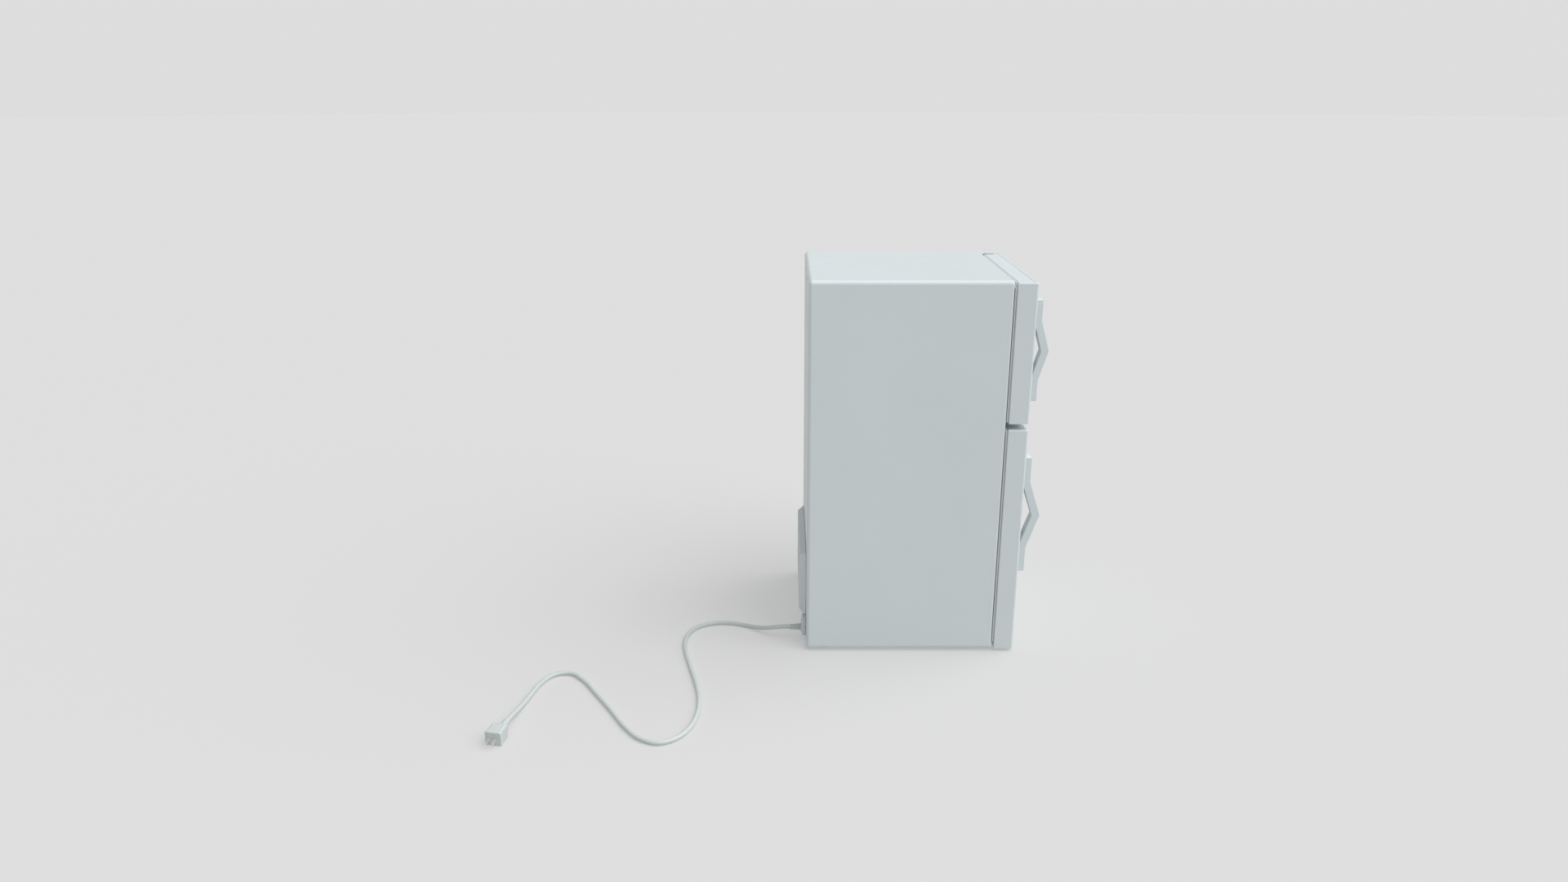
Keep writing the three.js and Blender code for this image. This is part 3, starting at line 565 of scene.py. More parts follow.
PLUG_NOSE = (-589, 875, 15)
PLUG_HEADING = radians(169.5)
PLUG_LENGTH = 66
BLADE = {"spacing": 12.7, "length": 17, "half_height": 3.17, "half_thick": 0.75, "hole": 1.6}


def on_plug(obj):
    """Moves a piece made along +X from the lead's end to where the plug lies."""
    turn = Matrix.Rotation(PLUG_HEADING, 4, "Z")
    shift = Matrix.Translation(Vector((-PLUG_LENGTH, 0, 0)) * MM)
    obj.data.transform(Matrix.Translation(Vector(PLUG_NOSE) * MM) @ turn @ shift)
    return obj


def plug_body():
    """The moulded plug: a ribbed neck that swells into a grip with finger grooves and a flat face."""
    neck = [(0.3, 5.6), (3, 6.6)]
    for i in range(4):
        at, r = 4 + i * 4.4, 6 + 0.5 * i
        neck += [(at, r), (at + 1.5, r), (at + 2, r + 1), (at + 4, r + 1.2)]
    shape = [(at, r, r, r - 0.05) for at, r in neck]
    shape += [(24, 9.4, 9.4, 8), (27, 12.6, 11.6, 7), (30, 15.2, 13.6, 6), (34, 16.2, 14.5, 5)]
    for i in range(4):
        at, ridge, groove = 37 + i * 4.5, (16.4, 14.7, 4.6), (15.5, 14.2, 4.4)
        shape += [(at, *ridge), (at + 1, *groove), (at + 2, *groove), (at + 3, *ridge)]
    shape += [(57, 16.8, 14.9, 4.2), (64.4, 17, 15, 4), (65.6, 16.5, 14.5, 3.6), (66, 15.4, 13.4, 3)]
    sections = [(at, (-wide, wide), (-high, high), r) for at, wide, high, r in shape]
    return stand_in(on_plug(stack("plug_moulding", "X", sections, steps=7)), "plug_body", edge=0.2, steps=2)


def plug_blade(side, node):
    """A flat blade with a rounded tip and a hole, made as a ring round the hole."""
    length, half, thick, hole = (BLADE[k] for k in ("length", "half_height", "half_thick", "hole"))
    hole_at = length - 5
    tip = 2.2
    outline = [(-1, -half), (hole_at - 3, -half), *arc((length - tip, tip - half), tip, -90, 0, 5)]
    outline += [*arc((length - tip, half - tip), tip, 0, 90, 5), (hole_at - 3, half), (-1, half)]
    rings = []
    for inset, deep in ((0.25, thick), (0, thick - 0.25), (0, 0.25 - thick), (0.25, -thick)):
        rings.append([(u - inset * (u > 1), deep, v * (1 - inset / half)) for u, v in outline])
    inner = []
    for u, v in outline:
        angle = atan2(v, u - hole_at)
        inner.append((hole_at + hole * cos(angle), hole * sin(angle)))
    rings += [[(u, deep, v) for u, v in inner] for deep in (-thick, thick)]
    at = PLUG_LENGTH + 0.2
    rings = [[(at + x, y + side * BLADE["spacing"] / 2, z) for x, y, z in ring] for ring in rings]
    return stand_in(on_plug(loft(f"{node}_plated", rings, loop=True)), node)


def mains_lead():
    """The lead with its boot, plug and blades."""
    route = smooth_route(CORD_ROUTE, 5)
    lead = tube("mains_lead", route, CORD_RADIUS, 20)
    stand_in(lead, "power_cord")
    length = sum((b - a).length for a, b in zip(route, route[1:]))
    on_it = [strain_relief(), plug_body()]
    on_it += [plug_blade(-1, "plug_blade_left"), plug_blade(1, "plug_blade_right")]


mains_lead()


# ---- Fasteners ----

def screw(name, centre, direction, radius=3.6):
    """A pan-head screw with a cross recess."""
    r, high = radius, radius * 0.5
    profile = [(0.02, -0.6), (r * 0.94, -0.6), (r, 0), (r, high * 0.35), (r * 0.92, high * 0.7)]
    profile += [(r * 0.72, high * 0.93), (r * 0.3, high), (0.02, high)]
    head = turned(name, profile, (0, 0, 0), count=24)
    arm, wide = r * 0.52, r * 0.15
    for u, v in (((-arm, arm), (-wide, wide)), ((-wide, wide), (-arm, arm))):
        cut_away(head, slab("recess", "Z", (high * 0.35, high + 1), u, v, 0.1, steps=1))
    turn = Vector(direction).to_track_quat("Z", "Y").to_matrix().to_4x4()
    head.data.transform(Matrix.Translation(Vector(centre) * MM) @ turn)
    return dress(head, "zinc_steel")


# ---- Cabinet case ----

CASE_EDGE = 10  # the round of the long edges
FRONT_BEND = 4.5
BACK_BEND = 8
SHEET = 1.2
FLANGE = 28
TUCK = 14  # how far the case turns in under the cabinet


def case_outline(inset, rise):
    """The case seen from the front: from one bottom edge, up a side, over the top and down again."""
    x, z0, z1 = half_width - inset, case_low.z + rise, top_z - inset
    r = max(CASE_EDGE - inset, 0.6)
    left = [(-x + max(TUCK - inset, r + 1), z0), *reversed(arc((-x + r, z0 + r), r, 180, 270))]
    left += reversed(arc((-x + r, z1 - r), r, 90, 180))
    return mirrored(left)


def case_wrap():
    """The sheet that makes the sides and the top, rolled in at the front and the back."""
    quarter = [radians(15 * i) for i in range(7)]
    stations = [(FLANGE, 2, front_y), (FRONT_BEND + 2, 0.6, front_y)]
    for a in quarter:
        inset = FRONT_BEND * (1 - sin(a))
        stations.append((inset, inset * 0.1, front_y + FRONT_BEND * (1 - cos(a))))
    for a in quarter:
        inset = BACK_BEND * (1 - cos(a))
        stations.append((inset, inset, back_y - BACK_BEND * (1 - sin(a))))
    stations.append((BACK_BEND + 7, BACK_BEND + 7, back_y))
    rings = [[(x, y, z) for x, z in case_outline(inset, rise)] for inset, rise, y in stations]
    wrap = thicken(loft("case_wrap", rings, around=False, ends=False, facing=(0, 1, 0)), SHEET)
    hinge_x, _, hinge_z = limits("top_hinge")
    slot_x, slot_z = (hinge_x[0] - 0.6, hinge_x[1] - 2.4), (hinge_z[1] - 2.6, hinge_z[1] + 0.25)
    cut_away(wrap, slab("slot", "Y", (front_y - 5, front_y + 5), slot_x, slot_z, 0.5))
    return stand_in(wrap, "outer_shell")


def back_sheet():
    """The back panel, with a pressed border and the opening of the compressor bay."""
    outer = ((-half_width + 7, half_width - 7), (case_low.z + 2, top_z - 7))
    opening = ((-130, 130), (78, 202))
    y, deep = back_y - 0.3, back_y - 1.1
    pressed = [(y - 1, 0, 6), (y, 0, 6), (y, 22, 6), (deep, 24, 6), (deep, 30, 6), (y, 32, 6)]
    sections = inset_sections(*outer, pressed) + inset_sections(*opening, [(y, -6, 8), (y - 1, 0, 5)])
    panel = stack("back_sheet", "Y", sections, loop=True)
    return stand_in(panel, "back_panel", edge=0.25, steps=2)


def back_ribs():
    """Two pressed ribs that stiffen the back panel above the bay."""
    y, v = back_y - 0.3, (262, 812)
    for i, x in enumerate((-96, 96)):
        steps = [(y - 0.5, 0, 8.9), (y - 0.1, 0, 8.9), (y + 0.3, 3, 5.9)]
        sections = inset_sections((x - 9, x + 9), v, steps)
        dress(stack(f"back_rib_{i + 1}", "Y", sections), "painted_steel", 0.2, 2)


def base_parts():
    """The base pan with its pressed channels, and the rail across the cabinet's front."""
    low, high = span("base_pan")
    half = half_width - TUCK - 0.4
    plate = slab("base_plate", "Z", (low.z, low.z + 1.5), (-half, half), (low.y + 6, high.y - 8), 4)
    stand_in(plate, "base_pan", edge=0.3, steps=2)
    for i, x in enumerate((-120, -40, 40)):
        steps = [(low.z + 1, 0, 10), (low.z - 0.1, 0, 10), (low.z - 1.2, 3, 7)]
        sections = inset_sections((x - 12, x + 12), (low.y + 40, high.y - 190), steps)
        dress(stack(f"base_channel_{i + 1}", "Z", sections), "painted_steel", 0.3, 2)
    half = half_width - FLANGE - 0.4
    rail = slab("base_rail", "Y", (front_y, front_y + SHEET), (-half, half), (low.z + 0.2, high.z), 1)
    dress(rail, "painted_steel", 0.3, 2)


def back_screws():
    """Screws round the back panel's edge, sunk so that they hardly stand out."""
    x, z0, z1 = half_width - 20, case_low.z + 22, top_z - 20
    places = [(side * x, z) for side in (-1, 1) for z in (z0, 230, 440, 650, z1)]
    places += [(u, z1) for u in (-68, 68)]
    for i, (u, v) in enumerate(places):
        screw(f"back_screw_{i + 1:02d}", (u, back_y - 1.5, v), (0, 1, 0), 3.4)


case_wrap()
back_sheet()
back_ribs()
base_parts()
back_screws()


# ---- Compressor bay ----

LOUVRE = {"count": 7, "low": 92, "pitch": 15, "height": 5}


def cover_slots():
    for row in range(LOUVRE["count"]):
        z = LOUVRE["low"] + LOUVRE["pitch"] * row
        for side in (-1, 1):
            across = (side * 56 - 50, side * 56 + 50)
            yield slab("slot", "Y", (back_y + 6, back_y + 30), across, (z, z + LOUVRE["height"]), 2.4)


def compressor_cover():
    """A pressed cover with sloping edges, slotted for the compressor's air and screwed along its foot."""
    u, (_, outer), v = limits("compressor_cover")
    sections = [(back_y + 0.3, u, v, 5), (back_y + 1.5, u, v, 5)]
    sections.append((outer, grown(u, -15), (v[0] + 10, v[1] - 7), 6))
    rings = [[on_axis("Y", *p, y) for p in rounded(across, up, r, 5)] for y, across, up, r in sections]
    size = len(rings[0])
    faces = loft_faces(3, size, ends=False) + [tuple(2 * size + i for i in range(size))]
    cover = make("bay_cover", [p for ring in rings for p in ring], faces, facing=(0, 1, 0))
    thicken(round_off(cover, 3, 4, 20), SHEET)
    stand_in(cut_away(cover, *cover_slots()), "compressor_cover")
    for i, x in enumerate((-110, 0, 110)):
        screw(f"cover_screw_{i + 1}", (x, back_y + 8.4, v[0] + 5.2), (0, 0.58, -0.81), 3.4)


COMPRESSOR = [middle(pair) for pair in limits("compressor")[:2]]
CAN_RADIUS = 58


def compressor():
    """The welded can with its seam, on a plate, and the pinched-off filling pipe beside it."""
    u, v, (_, can_high) = limits("compressor")
    cx, cy = COMPRESSOR
    can_low, r = 36, CAN_RADIUS
    seam = (can_low + can_high) / 2 + 12
    dome, steps = 36, 8
    profile = [(0.1, can_low - 6), (r - 20, can_low - 6), (r - 12, can_low - 2), (r - 5, can_low + 6)]
    profile += [(r - 1, can_low + 16), (r, can_low + 26), (r, seam - 3), (r + 1, seam - 2.4)]
    profile += [(r + 4, seam - 2), (r + 4, seam + 2), (r + 1, seam + 2.4), (r, seam + 3)]
    profile.append((r, can_high - dome))
    for i in range(1, steps + 1):
        a = radians(90 * i / steps)
        profile.append((max(r * cos(a), 0.1), can_high - dome + dome * sin(a)))
    stand_in(turned("compressor_can", profile, (cx, cy, 0), count=64), "compressor")
    dress(slab("compressor_plate", "Z", (28, 31.2), u, v, 12), "compressor_paint", 0.5, 2)
    route = [(cx - 40, cy - 42, 70), (cx - 48, cy - 50, 72), (cx - 52, cy - 54, 82), (cx - 52, cy - 54, 96)]
    dress(tube("service_pin", smooth_route(route, 2), 2.6), "copper_tube")


def grommet(node):
    """A waisted rubber foot under the compressor's plate, with a groove that holds the plate."""
    x, y, (z0, z1) = limits(node)
    profile = [(0.1, z0), (11.4, z0), (12, z0 + 1), (12, z0 + 8), (9.6, z0 + 10), (9.6, z0 + 12)]
    profile += [(12, z0 + 14), (12, 27.6), (8.6, 27.8), (8.6, 31.4), (11, 31.6), (11, z1 - 1)]
    profile += [(9.6, z1), (0.1, z1)]
    rubber = turned(f"{node}_rubber", profile, (middle(x), middle(y), 0), count=32)
    return stand_in(rubber, node, edge=0.2, steps=2)


def pipes():
    """The suction and discharge lines, from the can's side to the top of the bay."""
    (cx, cy), top = COMPRESSOR, 259
    start, bearing = cx + CAN_RADIUS - 1, -0.74
    suction = [(start, cy, 98), (start + 11, cy, 98), (start + 25, cy, 106), (start + 31, cy, 124)]
    suction += [(start + 31, cy - 4, 175), (start + 27, cy - 20, 215), (start + 17, cy - 38, 238)]
    suction.append((start + 13, cy - 44, top))
    stand_in(tube("suction_pipe", smooth_route(suction, 3), 4), "suction_line")

    def out(distance):
        reach = CAN_RADIUS + distance
        return (cx + reach * cos(bearing), cy + reach * sin(bearing))

    discharge = [(*out(-1), 76), (*out(8), 76), (*out(18), 80), (*out(27), 94)]
    discharge += [(*out(31), 125), (*out(33), 180), (*out(38), 220), (*out(40), top)]
    stand_in(tube("discharge_pipe", smooth_route(discharge, 3), 3), "discharge_line")


def tray(name, node, wall, radius, draft=2.0):
    """An open tray with walls that lean out a little towards a thicker rim."""
    u, v, (z0, z1) = limits(node)
    rim = z1 - min(6, (z1 - z0) / 4)
    inner = radius - wall / 2
    sections = inset_sections(u, v, [
        (z0, draft, radius - draft / 2), (rim, 0.9, radius), (rim + 0.8, 0, radius), (z1, 0, radius),
        (z1, wall + 0.9, inner), (z0 + wall, wall + draft, inner - draft / 2),
    ])
    return stand_in(stack(name, "Z", sections), node, edge=0.6)


compressor_cover()
compressor()
for node_name in [name for name in body_of if name.startswith("compressor_grommet")]:
    grommet(node_name)
pipes()
tray("drip_pan", "drip_tray", 2, 8)


def cord_gland():
    """The block where the lead comes out: a screwed-on housing with a collar round the boot."""
    u, (inner, face), v = limits("cord_gland")
    steps = [(inner, 0, 4), (face - 2.5, 0, 4), (face - 0.6, 2.2, 3.4), (face - 0.2, 3, 3)]
    stand_in(stack("gland_block", "Y", inset_sections(u, v, steps)), "cord_gland", edge=0.4)
    profile = [(9.2, -1), (12, -1), (12, 1.2), (11.4, 1.8), (9.8, 1.8), (9.2, 1.2)]
    place = (exit_x, face - 0.2, exit_z)
    collar = turned("gland_collar", profile, place, (0, 1, 0), count=40, loop=True)
    dress(collar, "door_trim_plastic", 0.2, 2)
    screw("gland_screw", (middle(u), face - 0.4, v[1] - 8), (0, 1, 0), 2.8)


cord_gland()


# ---- Feet ----

def foot(node):
    """A levelling foot: a disc with finger notches on a threaded stem."""
    x, y, (_, top) = limits(node)
    r = (x[1] - x[0]) / 2

    def notched(angle, along):
        return 1 - 0.035 * max(0.0, cos(12 * angle)) if along < 5 else 1

    profile = [(0.1, 0), (r - 2, 0), (r - 0.8, 0.4), (r, 1.3), (r, 3.8), (r - 0.6, 4.7), (r - 2, 5.3)]
    profile.append((6, 5.4))
    z, pitch = 5.6, 1.25
    while z < top - 1.5:
        profile += [(3.4, z), (4, z + 0.6)]
        z += pitch
    profile += [(3.4, top - 0.8), (2.8, top), (0.1, top)]
    centre = (middle(x), middle(y), 0)
    return stand_in(turned(f"{node}_turned", profile, centre, count=72, wave=notched), node)


for corner_name in ("front_left", "front_right", "rear_left", "rear_right"):
    foot(f"{corner_name}_foot")


# ---- Liners ----

LINER_SHEET = 1.6


def tub(name, node, outline, half, lip, fillet):
    """A vacuum-formed tub: the room's outline across the cabinet, with round corners and a front lip."""
    front = outline[0][0]
    work = bmesh.new()
    sides = [[work.verts.new(Vector((x, y, z)) * MM) for y, z in outline] for x in (-half, half)]
    count = len(outline)
    walls = []
    for i in range(count):
        j = (i + 1) % count
        walls.append(work.faces.new((sides[0][i], sides[0][j], sides[1][j], sides[1][i])))
    walls.append(work.faces.new(sides[0]))
    walls.append(work.faces.new(reversed(sides[1])))
    bmesh.ops.recalc_face_normals(work, faces=work.faces)
    opening = [f for f in walls if all(abs(v.co.y / MM - front) < 0.01 for v in f.verts)]
    rim = {e for f in opening for e in f.edges}
    corners = [e for e in work.edges if e not in rim]
    bmesh.ops.delete(work, geom=opening, context="FACES_ONLY")
    bmesh.ops.bevel(work, geom=corners, offset=fillet * MM, segments=5, profile=0.5, affect="EDGES")
    boundary = [e for e in work.edges if e.is_boundary]
    added = bmesh.ops.extrude_edge_only(work, edges=boundary)["geom"]
    spread_to_rectangle([v for v in added if isinstance(v, bmesh.types.BMVert)], *lip)
    bmesh.ops.recalc_face_normals(work, faces=work.faces)
    if max(work.faces, key=lambda f: f.calc_center_median().y).normal.y > 0:
        bmesh.ops.reverse_faces(work, faces=work.faces)
    obj = object_from(work, name)
    return stand_in(thicken(round_off(obj, 3.2, 5, 50), LINER_SHEET), node)


def spread_to_rectangle(verts, u, v):
    """Moves a ring of points outwards, in its own plane, onto a rectangle with sharp corners."""
    centre = Vector((middle(u), 0, middle(v)))
    half_u, half_v = (u[1] - u[0]) / 2, (v[1] - v[0]) / 2
    for vert in verts:
        x, z = vert.co.x / MM - centre.x, vert.co.z / MM - centre.z
        reach = max(abs(x) / half_u, abs(z) / half_v)
        vert.co.x = (centre.x + x / reach) * MM
        vert.co.z = (centre.z + z / reach) * MM
    for x in u:
        for z in v:
            corner = Vector((x * MM, verts[0].co.y, z * MM))
            min(verts, key=lambda w: (w.co - corner).length).co = corner


def ledge(name, x, y, z, high=6.0, body="cabinet"):
    """A moulded rib on a wall, with a rounded front end."""
    u, v = (min(x), max(x)), (z - high, z)
    sections = [(y[0], grown(u, -1), grown(v, -1.6), 0.8), (y[0] + 1.5, u, v, 1.2), (y[1], u, v, 1.2)]
    return dress(stack(name, "Y", sections, steps=3), "liner_plastic", 0.5, 2, body)


lip_x, _, freezer_lip_z = limits("freezer_liner")
fridge_lip_z = limits("fridge_liner")[2]
ROOM_HALF = half_width - 43
ROOM_BACK = back_y - 52
HUMP_FRONT, HUMP_TOP = back_y - 185, 292
FREEZER_ROOM = (freezer_lip_z[0] + 3.2, top_z - 47)
FRIDGE_ROOM = (case_low.z + 50, fridge_lip_z[1] - 3.2)


def liners():
    """Both tubs, and the ribs on their side walls that hold the shelves and the drawer's cover."""
    low, high = FREEZER_ROOM
    outline = [(front_y, low), (ROOM_BACK, low), (ROOM_BACK, high), (front_y, high)]
    tub("freezer_tub", "freezer_liner", outline, ROOM_HALF, (lip_x, freezer_lip_z), 12)
    low, high = FRIDGE_ROOM
    outline = [(front_y, low), (HUMP_FRONT, low), (HUMP_FRONT, HUMP_TOP), (ROOM_BACK, HUMP_TOP)]
    outline += [(ROOM_BACK, high), (front_y, high)]
    tub("fridge_tub", "fridge_liner", outline, ROOM_HALF, (lip_x, fridge_lip_z), 12)
    rows = [("freezer", 689.7, front_y + 25, ROOM_BACK - 6), ("glass", 385.7, front_y + 25, ROOM_BACK - 6)]
    rows.append(("crisper", 293.7, front_y + 90, HUMP_FRONT - 6))
    for name, z, start, end in rows:
        for side, word in ((-1, "left"), (1, "right")):
            x = (side * (ROOM_HALF + 1), side * (ROOM_HALF - 6))
            ledge(f"{name}_ledge_{word}", x, (start, end), z)


def hollow(x, y, z):
    """A sharp-edged box, to cut with."""
    return slab("hollow", "Y", y, x, z, 0.1, steps=1)


def cabinet_foam():
    """The foam between case and liners, cut away for the rooms, the bay, and what is set into it."""
    u, (near, far), v = limits("cabinet_foam")
    steps = [(near, 0, 7), (far - 7, 0, 7), (far - 3.5, 1, 6.5), (far - 1, 3.6, 5), (far, 7, 3)]
    block = stack("foam_filling", "Y", inset_sections(u, v, steps))
    gap = 2.3
    across = (-ROOM_HALF - gap, ROOM_HALF + gap)
    y0, y1, floor_z, top = front_y - 5, ROOM_BACK + gap, FRIDGE_ROOM[0] - gap, FRIDGE_ROOM[1] + gap
    hump_y, hump_z = HUMP_FRONT + gap, HUMP_TOP - gap
    fridge = [(y0, floor_z), (hump_y, floor_z), (hump_y, hump_z), (y1, hump_z), (y1, top), (y0, top)]
    rail_x, _, rail_z = limits("mullion_rail")
    hinge_x, hinge_y, hinge_z = limits("top_hinge")
    tools = [
        hollow(across, (y0, y1), grown(FREEZER_ROOM, gap)),
        prism("hollow", "X", fridge, across),
        hollow((-half_width, half_width), (back_y - 150, back_y + 5), (0, 262)),
        hollow(grown(rail_x, 2), (y0, front_y + 14), grown(rail_z, 1)),
        hollow(grown(hinge_x, 1), (y0, hinge_y[1] + 1), (hinge_z[1] - 3, top_z)),
    ]
    for node in ("front_left_foot", "front_right_foot"):
        x, y, _ = limits(node)
        tools.append(turned("hollow", [(6, 0), (6, 34)], (middle(x), middle(y), 0), count=16))
    x, _, z = limits("light_switch_button")
    tools.append(turned("hollow", [(6, 0), (6, 30)], (middle(x), y0, middle(z)), (0, 1, 0), count=16))
    return stand_in(cut_away(block, *tools), "cabinet_foam")


liners()
cabinet_foam()


# ---- Doors ----

SKIN_EDGE = 5
TOP_ROLL = 3.2
FOOT_ROLL = 1.4
SKIN_FOLD = 1.8
SKIN_RETURN = 14


def door_outline(inset, front, back):
    """A door's sheet seen from above, from the end of one return to the end of the other."""
    x, y0, y1 = half_width - inset, front + inset, back - min(inset, 2)
    r, fold = max(SKIN_EDGE - inset, 0.5), max(SKIN_FOLD - inset / 2, 1)
    left = [(-x + SKIN_RETURN - inset, y1), *arc((-x + fold, y1 - fold), fold, 90, 180, 5)]
    left += arc((-x + r, y0 + r), r, 180, 270)
    return mirrored(left)


def door_skin(name):
    """A door's bent sheet, rolled in tightly at its foot and more widely at its top."""
    low, high = span(f"{name}_skin")

    def rolled(radius):
        turn = [radians(18 * i) for i in range(6)]
        return [(7, 0), *((radius * (1 - sin(a)), radius * (1 - cos(a))) for a in turn)]

    levels = [(inset, low.z + up) for inset, up in rolled(FOOT_ROLL)]
    levels += [(inset, high.z - up) for inset, up in reversed(rolled(TOP_ROLL))]
    rings = [[(x, y, z) for x, y in door_outline(inset, low.y, high.y)] for inset, z in levels]
    skin = loft(f"{name}_panel", rings, around=False, ends=False, facing=(0, 0, 1))
    return stand_in(thicken(skin, SHEET), f"{name}_skin")


def door_cap(name, end):
    """The moulding in a door's top or bottom, with a bearing for the hinge pin; the lower one is sunk."""
    node = f"{name}_{end}_cap"
    low, high = span(node)
    up = 1 if end == "top" else -1
    face, inner = (high.z, low.z) if up > 0 else (low.z, high.z)
    u, v = grown((low.x, high.x), -5.8), (low.y + 5.8, high.y - 0.4)
    sections = inset_sections(u, v, [(inner, 0, 3), (face - 0.6 * up, 0, 3), (face - 0.15 * up, 0.5, 3)])
    if end == "bottom":
        panel_u, panel_v = grown(u, -34), grown(v, -6)
        sections.append((face - 0.15 * up, panel_u, panel_v, 4))
        sections.append((face - 1.6 * up, grown(panel_u, -1.5), grown(panel_v, -1.5), 3))
    cap = stack(f"{name}_{end}_moulding", "Z", sections)
    bore = turned("bore", [(4.3, -20), (4.3, 20)], (*HINGE_AXIS, face), count=32)
    return stand_in(cut_away(cap, bore), node)


def pivot_bush(name, end):
    """The ring of a pressed-in bush round the hinge pin."""
    low, high = span(f"{name}_{end}_cap")
    face, inwards = (high.z, -1) if end == "top" else (low.z, 1)
    profile = [(4.35, 0), (6.8, 0), (7.2, 0.4), (7.2, 3), (4.35, 3)]
    profile = [(r, face + inwards * (deep - 0.05)) for r, deep in profile]
    bush = turned(f"{name}_{end}_bush", profile, (*HINGE_AXIS, 0), count=32, loop=True)
    return dress(bush, "black_plastic", 0.15, 2, name)


def door_handle(name):
    """A chevron pull with mitred bends and softened edges, and a round plug over each of its screws."""
    across, (tip, _), z_limits = limits(f"{name}_handle")
    front = span(f"{name}_skin")[0].y
    pad, half_bow = HANDLE[name]
    centre = middle(z_limits)
    half = z_limits[1] - centre
    peak = front - tip
    slope = (peak - pad) / half_bow
    inner_peak = peak - pad * hypot(1, slope)
    inner_bow = inner_peak / slope
    outline = [(0.3, half), (0.3, inner_bow), (inner_peak, 0), (0.3, -inner_bow), (0.3, -half)]
    outline += [(pad, -half), (pad, -half_bow), (peak, 0), (pad, half_bow), (pad, half)]
    outline = [(front - proud, centre + z) for proud, z in outline]
    stand_in(prism(f"{name}_pull", "X", outline, across), f"{name}_handle", edge=1.1, steps=4)
    profile = [(0.1, -1), (4.6, -1), (4.6, 0.1), (4.2, 0.45), (0.1, 0.6)]
    for i, z in enumerate(grown(z_limits, -14)):
        place = (middle(across), front - pad, z)
        plug = turned(f"{name}_pull_plug_{i + 1}", profile, place, (0, -1, 0), 28)
        dress(plug, "door_trim_plastic", body=name)


def door_border(room):
    """The limits in x and z of the border that stands into a compartment."""
    return (-BORDER_HALF, BORDER_HALF), grown(room, -8)


def door_inner(name, room):
    """The door's formed inner panel: a flat field, and a border that stands into the compartment."""
    u, (_, tip), v = limits(f"{name}_liner")
    face = span(f"{name}_skin")[1].y
    sections = inset_sections(u, v, [(face - 2, 0, 3), (face - 0.5, 0, 3), (face, 0.6, 3)])
    sections += inset_sections(*door_border(room), [
        (face, -3, 15), (face + 0.8, -1.2, 13.2), (face + 3, -0.2, 12.2), (tip - 5, 0.9, 11),
        (tip - 2, 1.7, 10.3), (tip - 0.5, 3.4, 8.6), (tip, 5.4, 7), (tip, 9.6, 7), (tip - 0.5, 11.6, 6),
        (tip - 2, 13.3, 5), (tip - 5, 14.1, 4.6), (face + 6, 14.9, 6), (face + 2, 16, 6.5),
        (face + 0.4, 18.4, 6), (face, 22, 5),
    ])
    return stand_in(stack(f"{name}_inner", "Y", sections), f"{name}_liner")


def door_foam(name, room):
    """The foam in a door: a slab in the skin, and a filling in the border of the inner panel."""
    u, (near, far), z = limits(f"{name}_foam")
    face = span(f"{name}_skin")[1].y
    stand_in(slab(f"{name}_foam_slab", "Z", z, u, (near, face - 2.3), 4), f"{name}_foam")
    sections = inset_sections(*door_border(room), [
        (face - 3, 3, 11), (far - 3, 4, 9), (far - 1, 6, 8), (far - 1, 9, 8), (far - 3, 11.5, 6),
        (face - 3, 12.5, 6),
    ])
    return dress(stack(f"{name}_foam_border", "Y", sections, loop=True), "insulation_foam", body=name)


def door_seal(name):
    """The magnetic gasket: a lip against the door, and a soft bellows behind a flat magnet strip."""
    u, (foot_y, _), v = limits(f"{name}_gasket")
    section = [
        (0.5, 0), (0, 0.6), (0, 3), (0.6, 3.6), (9.4, 3.6), (10.6, 3.8), (11, 4.2), (11, 4.9), (11.6, 5.4),
        (22.4, 5.4), (23, 4.7), (23, 3.2), (20.4, 2.3), (23, 1.3), (23, 0.5), (22.4, 0),
    ]
    sections = []
    for inset, up in section:
        drop = inset * 0.06 if inset < 11 else inset - 10.34
        sections.append((foot_y + up, grown(u, -inset), grown(v, -drop), max(6 - inset / 3, 1)))
    seal = stack(f"{name}_seal", "Y", sections, loop=True, steps=4)
    return stand_in(seal, f"{name}_gasket", edge=0.3, steps=2)


HINGE_AXIS = (half_width - 15, front_y - 26)
BORDER_HALF = 165
HANDLE = {"freezer_door": (16, 65), "fridge_door": (17, 78)}  # thickness, half the length of the bow
BINS = {
    "freezer_door": ["freezer_door_bin"],
    "fridge_door": ["fridge_door_top_bin", "fridge_door_middle_bin", "fridge_door_bottle_bin"],
}


def door_bins(name):
    """A door's bins, and the ribs of its border that they rest on."""
    face, tip = span(f"{name}_skin")[1].y, span(f"{name}_liner")[1].y
    for node in BINS[name]:
        low, high = span(node)
        tray(f"{node}_tray", node, 2, 6, draft=1.5)
        for side, word in ((-1, "left"), (1, "right")):
            x = (side * (BORDER_HALF - 14.5), side * (high.x - 5))
            ledge(f"{node}_ledge_{word}", x, (face - 0.5, tip - 4), low.z - 0.3, 4.7, name)


def doors():
    for name, room in (("freezer_door", FREEZER_ROOM), ("fridge_door", FRIDGE_ROOM)):
        door_skin(name)
        for end in ("top", "bottom"):
            door_cap(name, end)
            pivot_bush(name, end)
        door_handle(name)
        door_inner(name, room)
        door_foam(name, room)
        door_seal(name)
        door_bins(name)


doors()


# ---- Inside the compartments ----

def merged(name, parts):
    """One object from several meshes."""
    work = bmesh.new()
    for part in parts:
        work.from_mesh(part.data)
        bpy.data.objects.remove(part)
    return object_from(work, name)


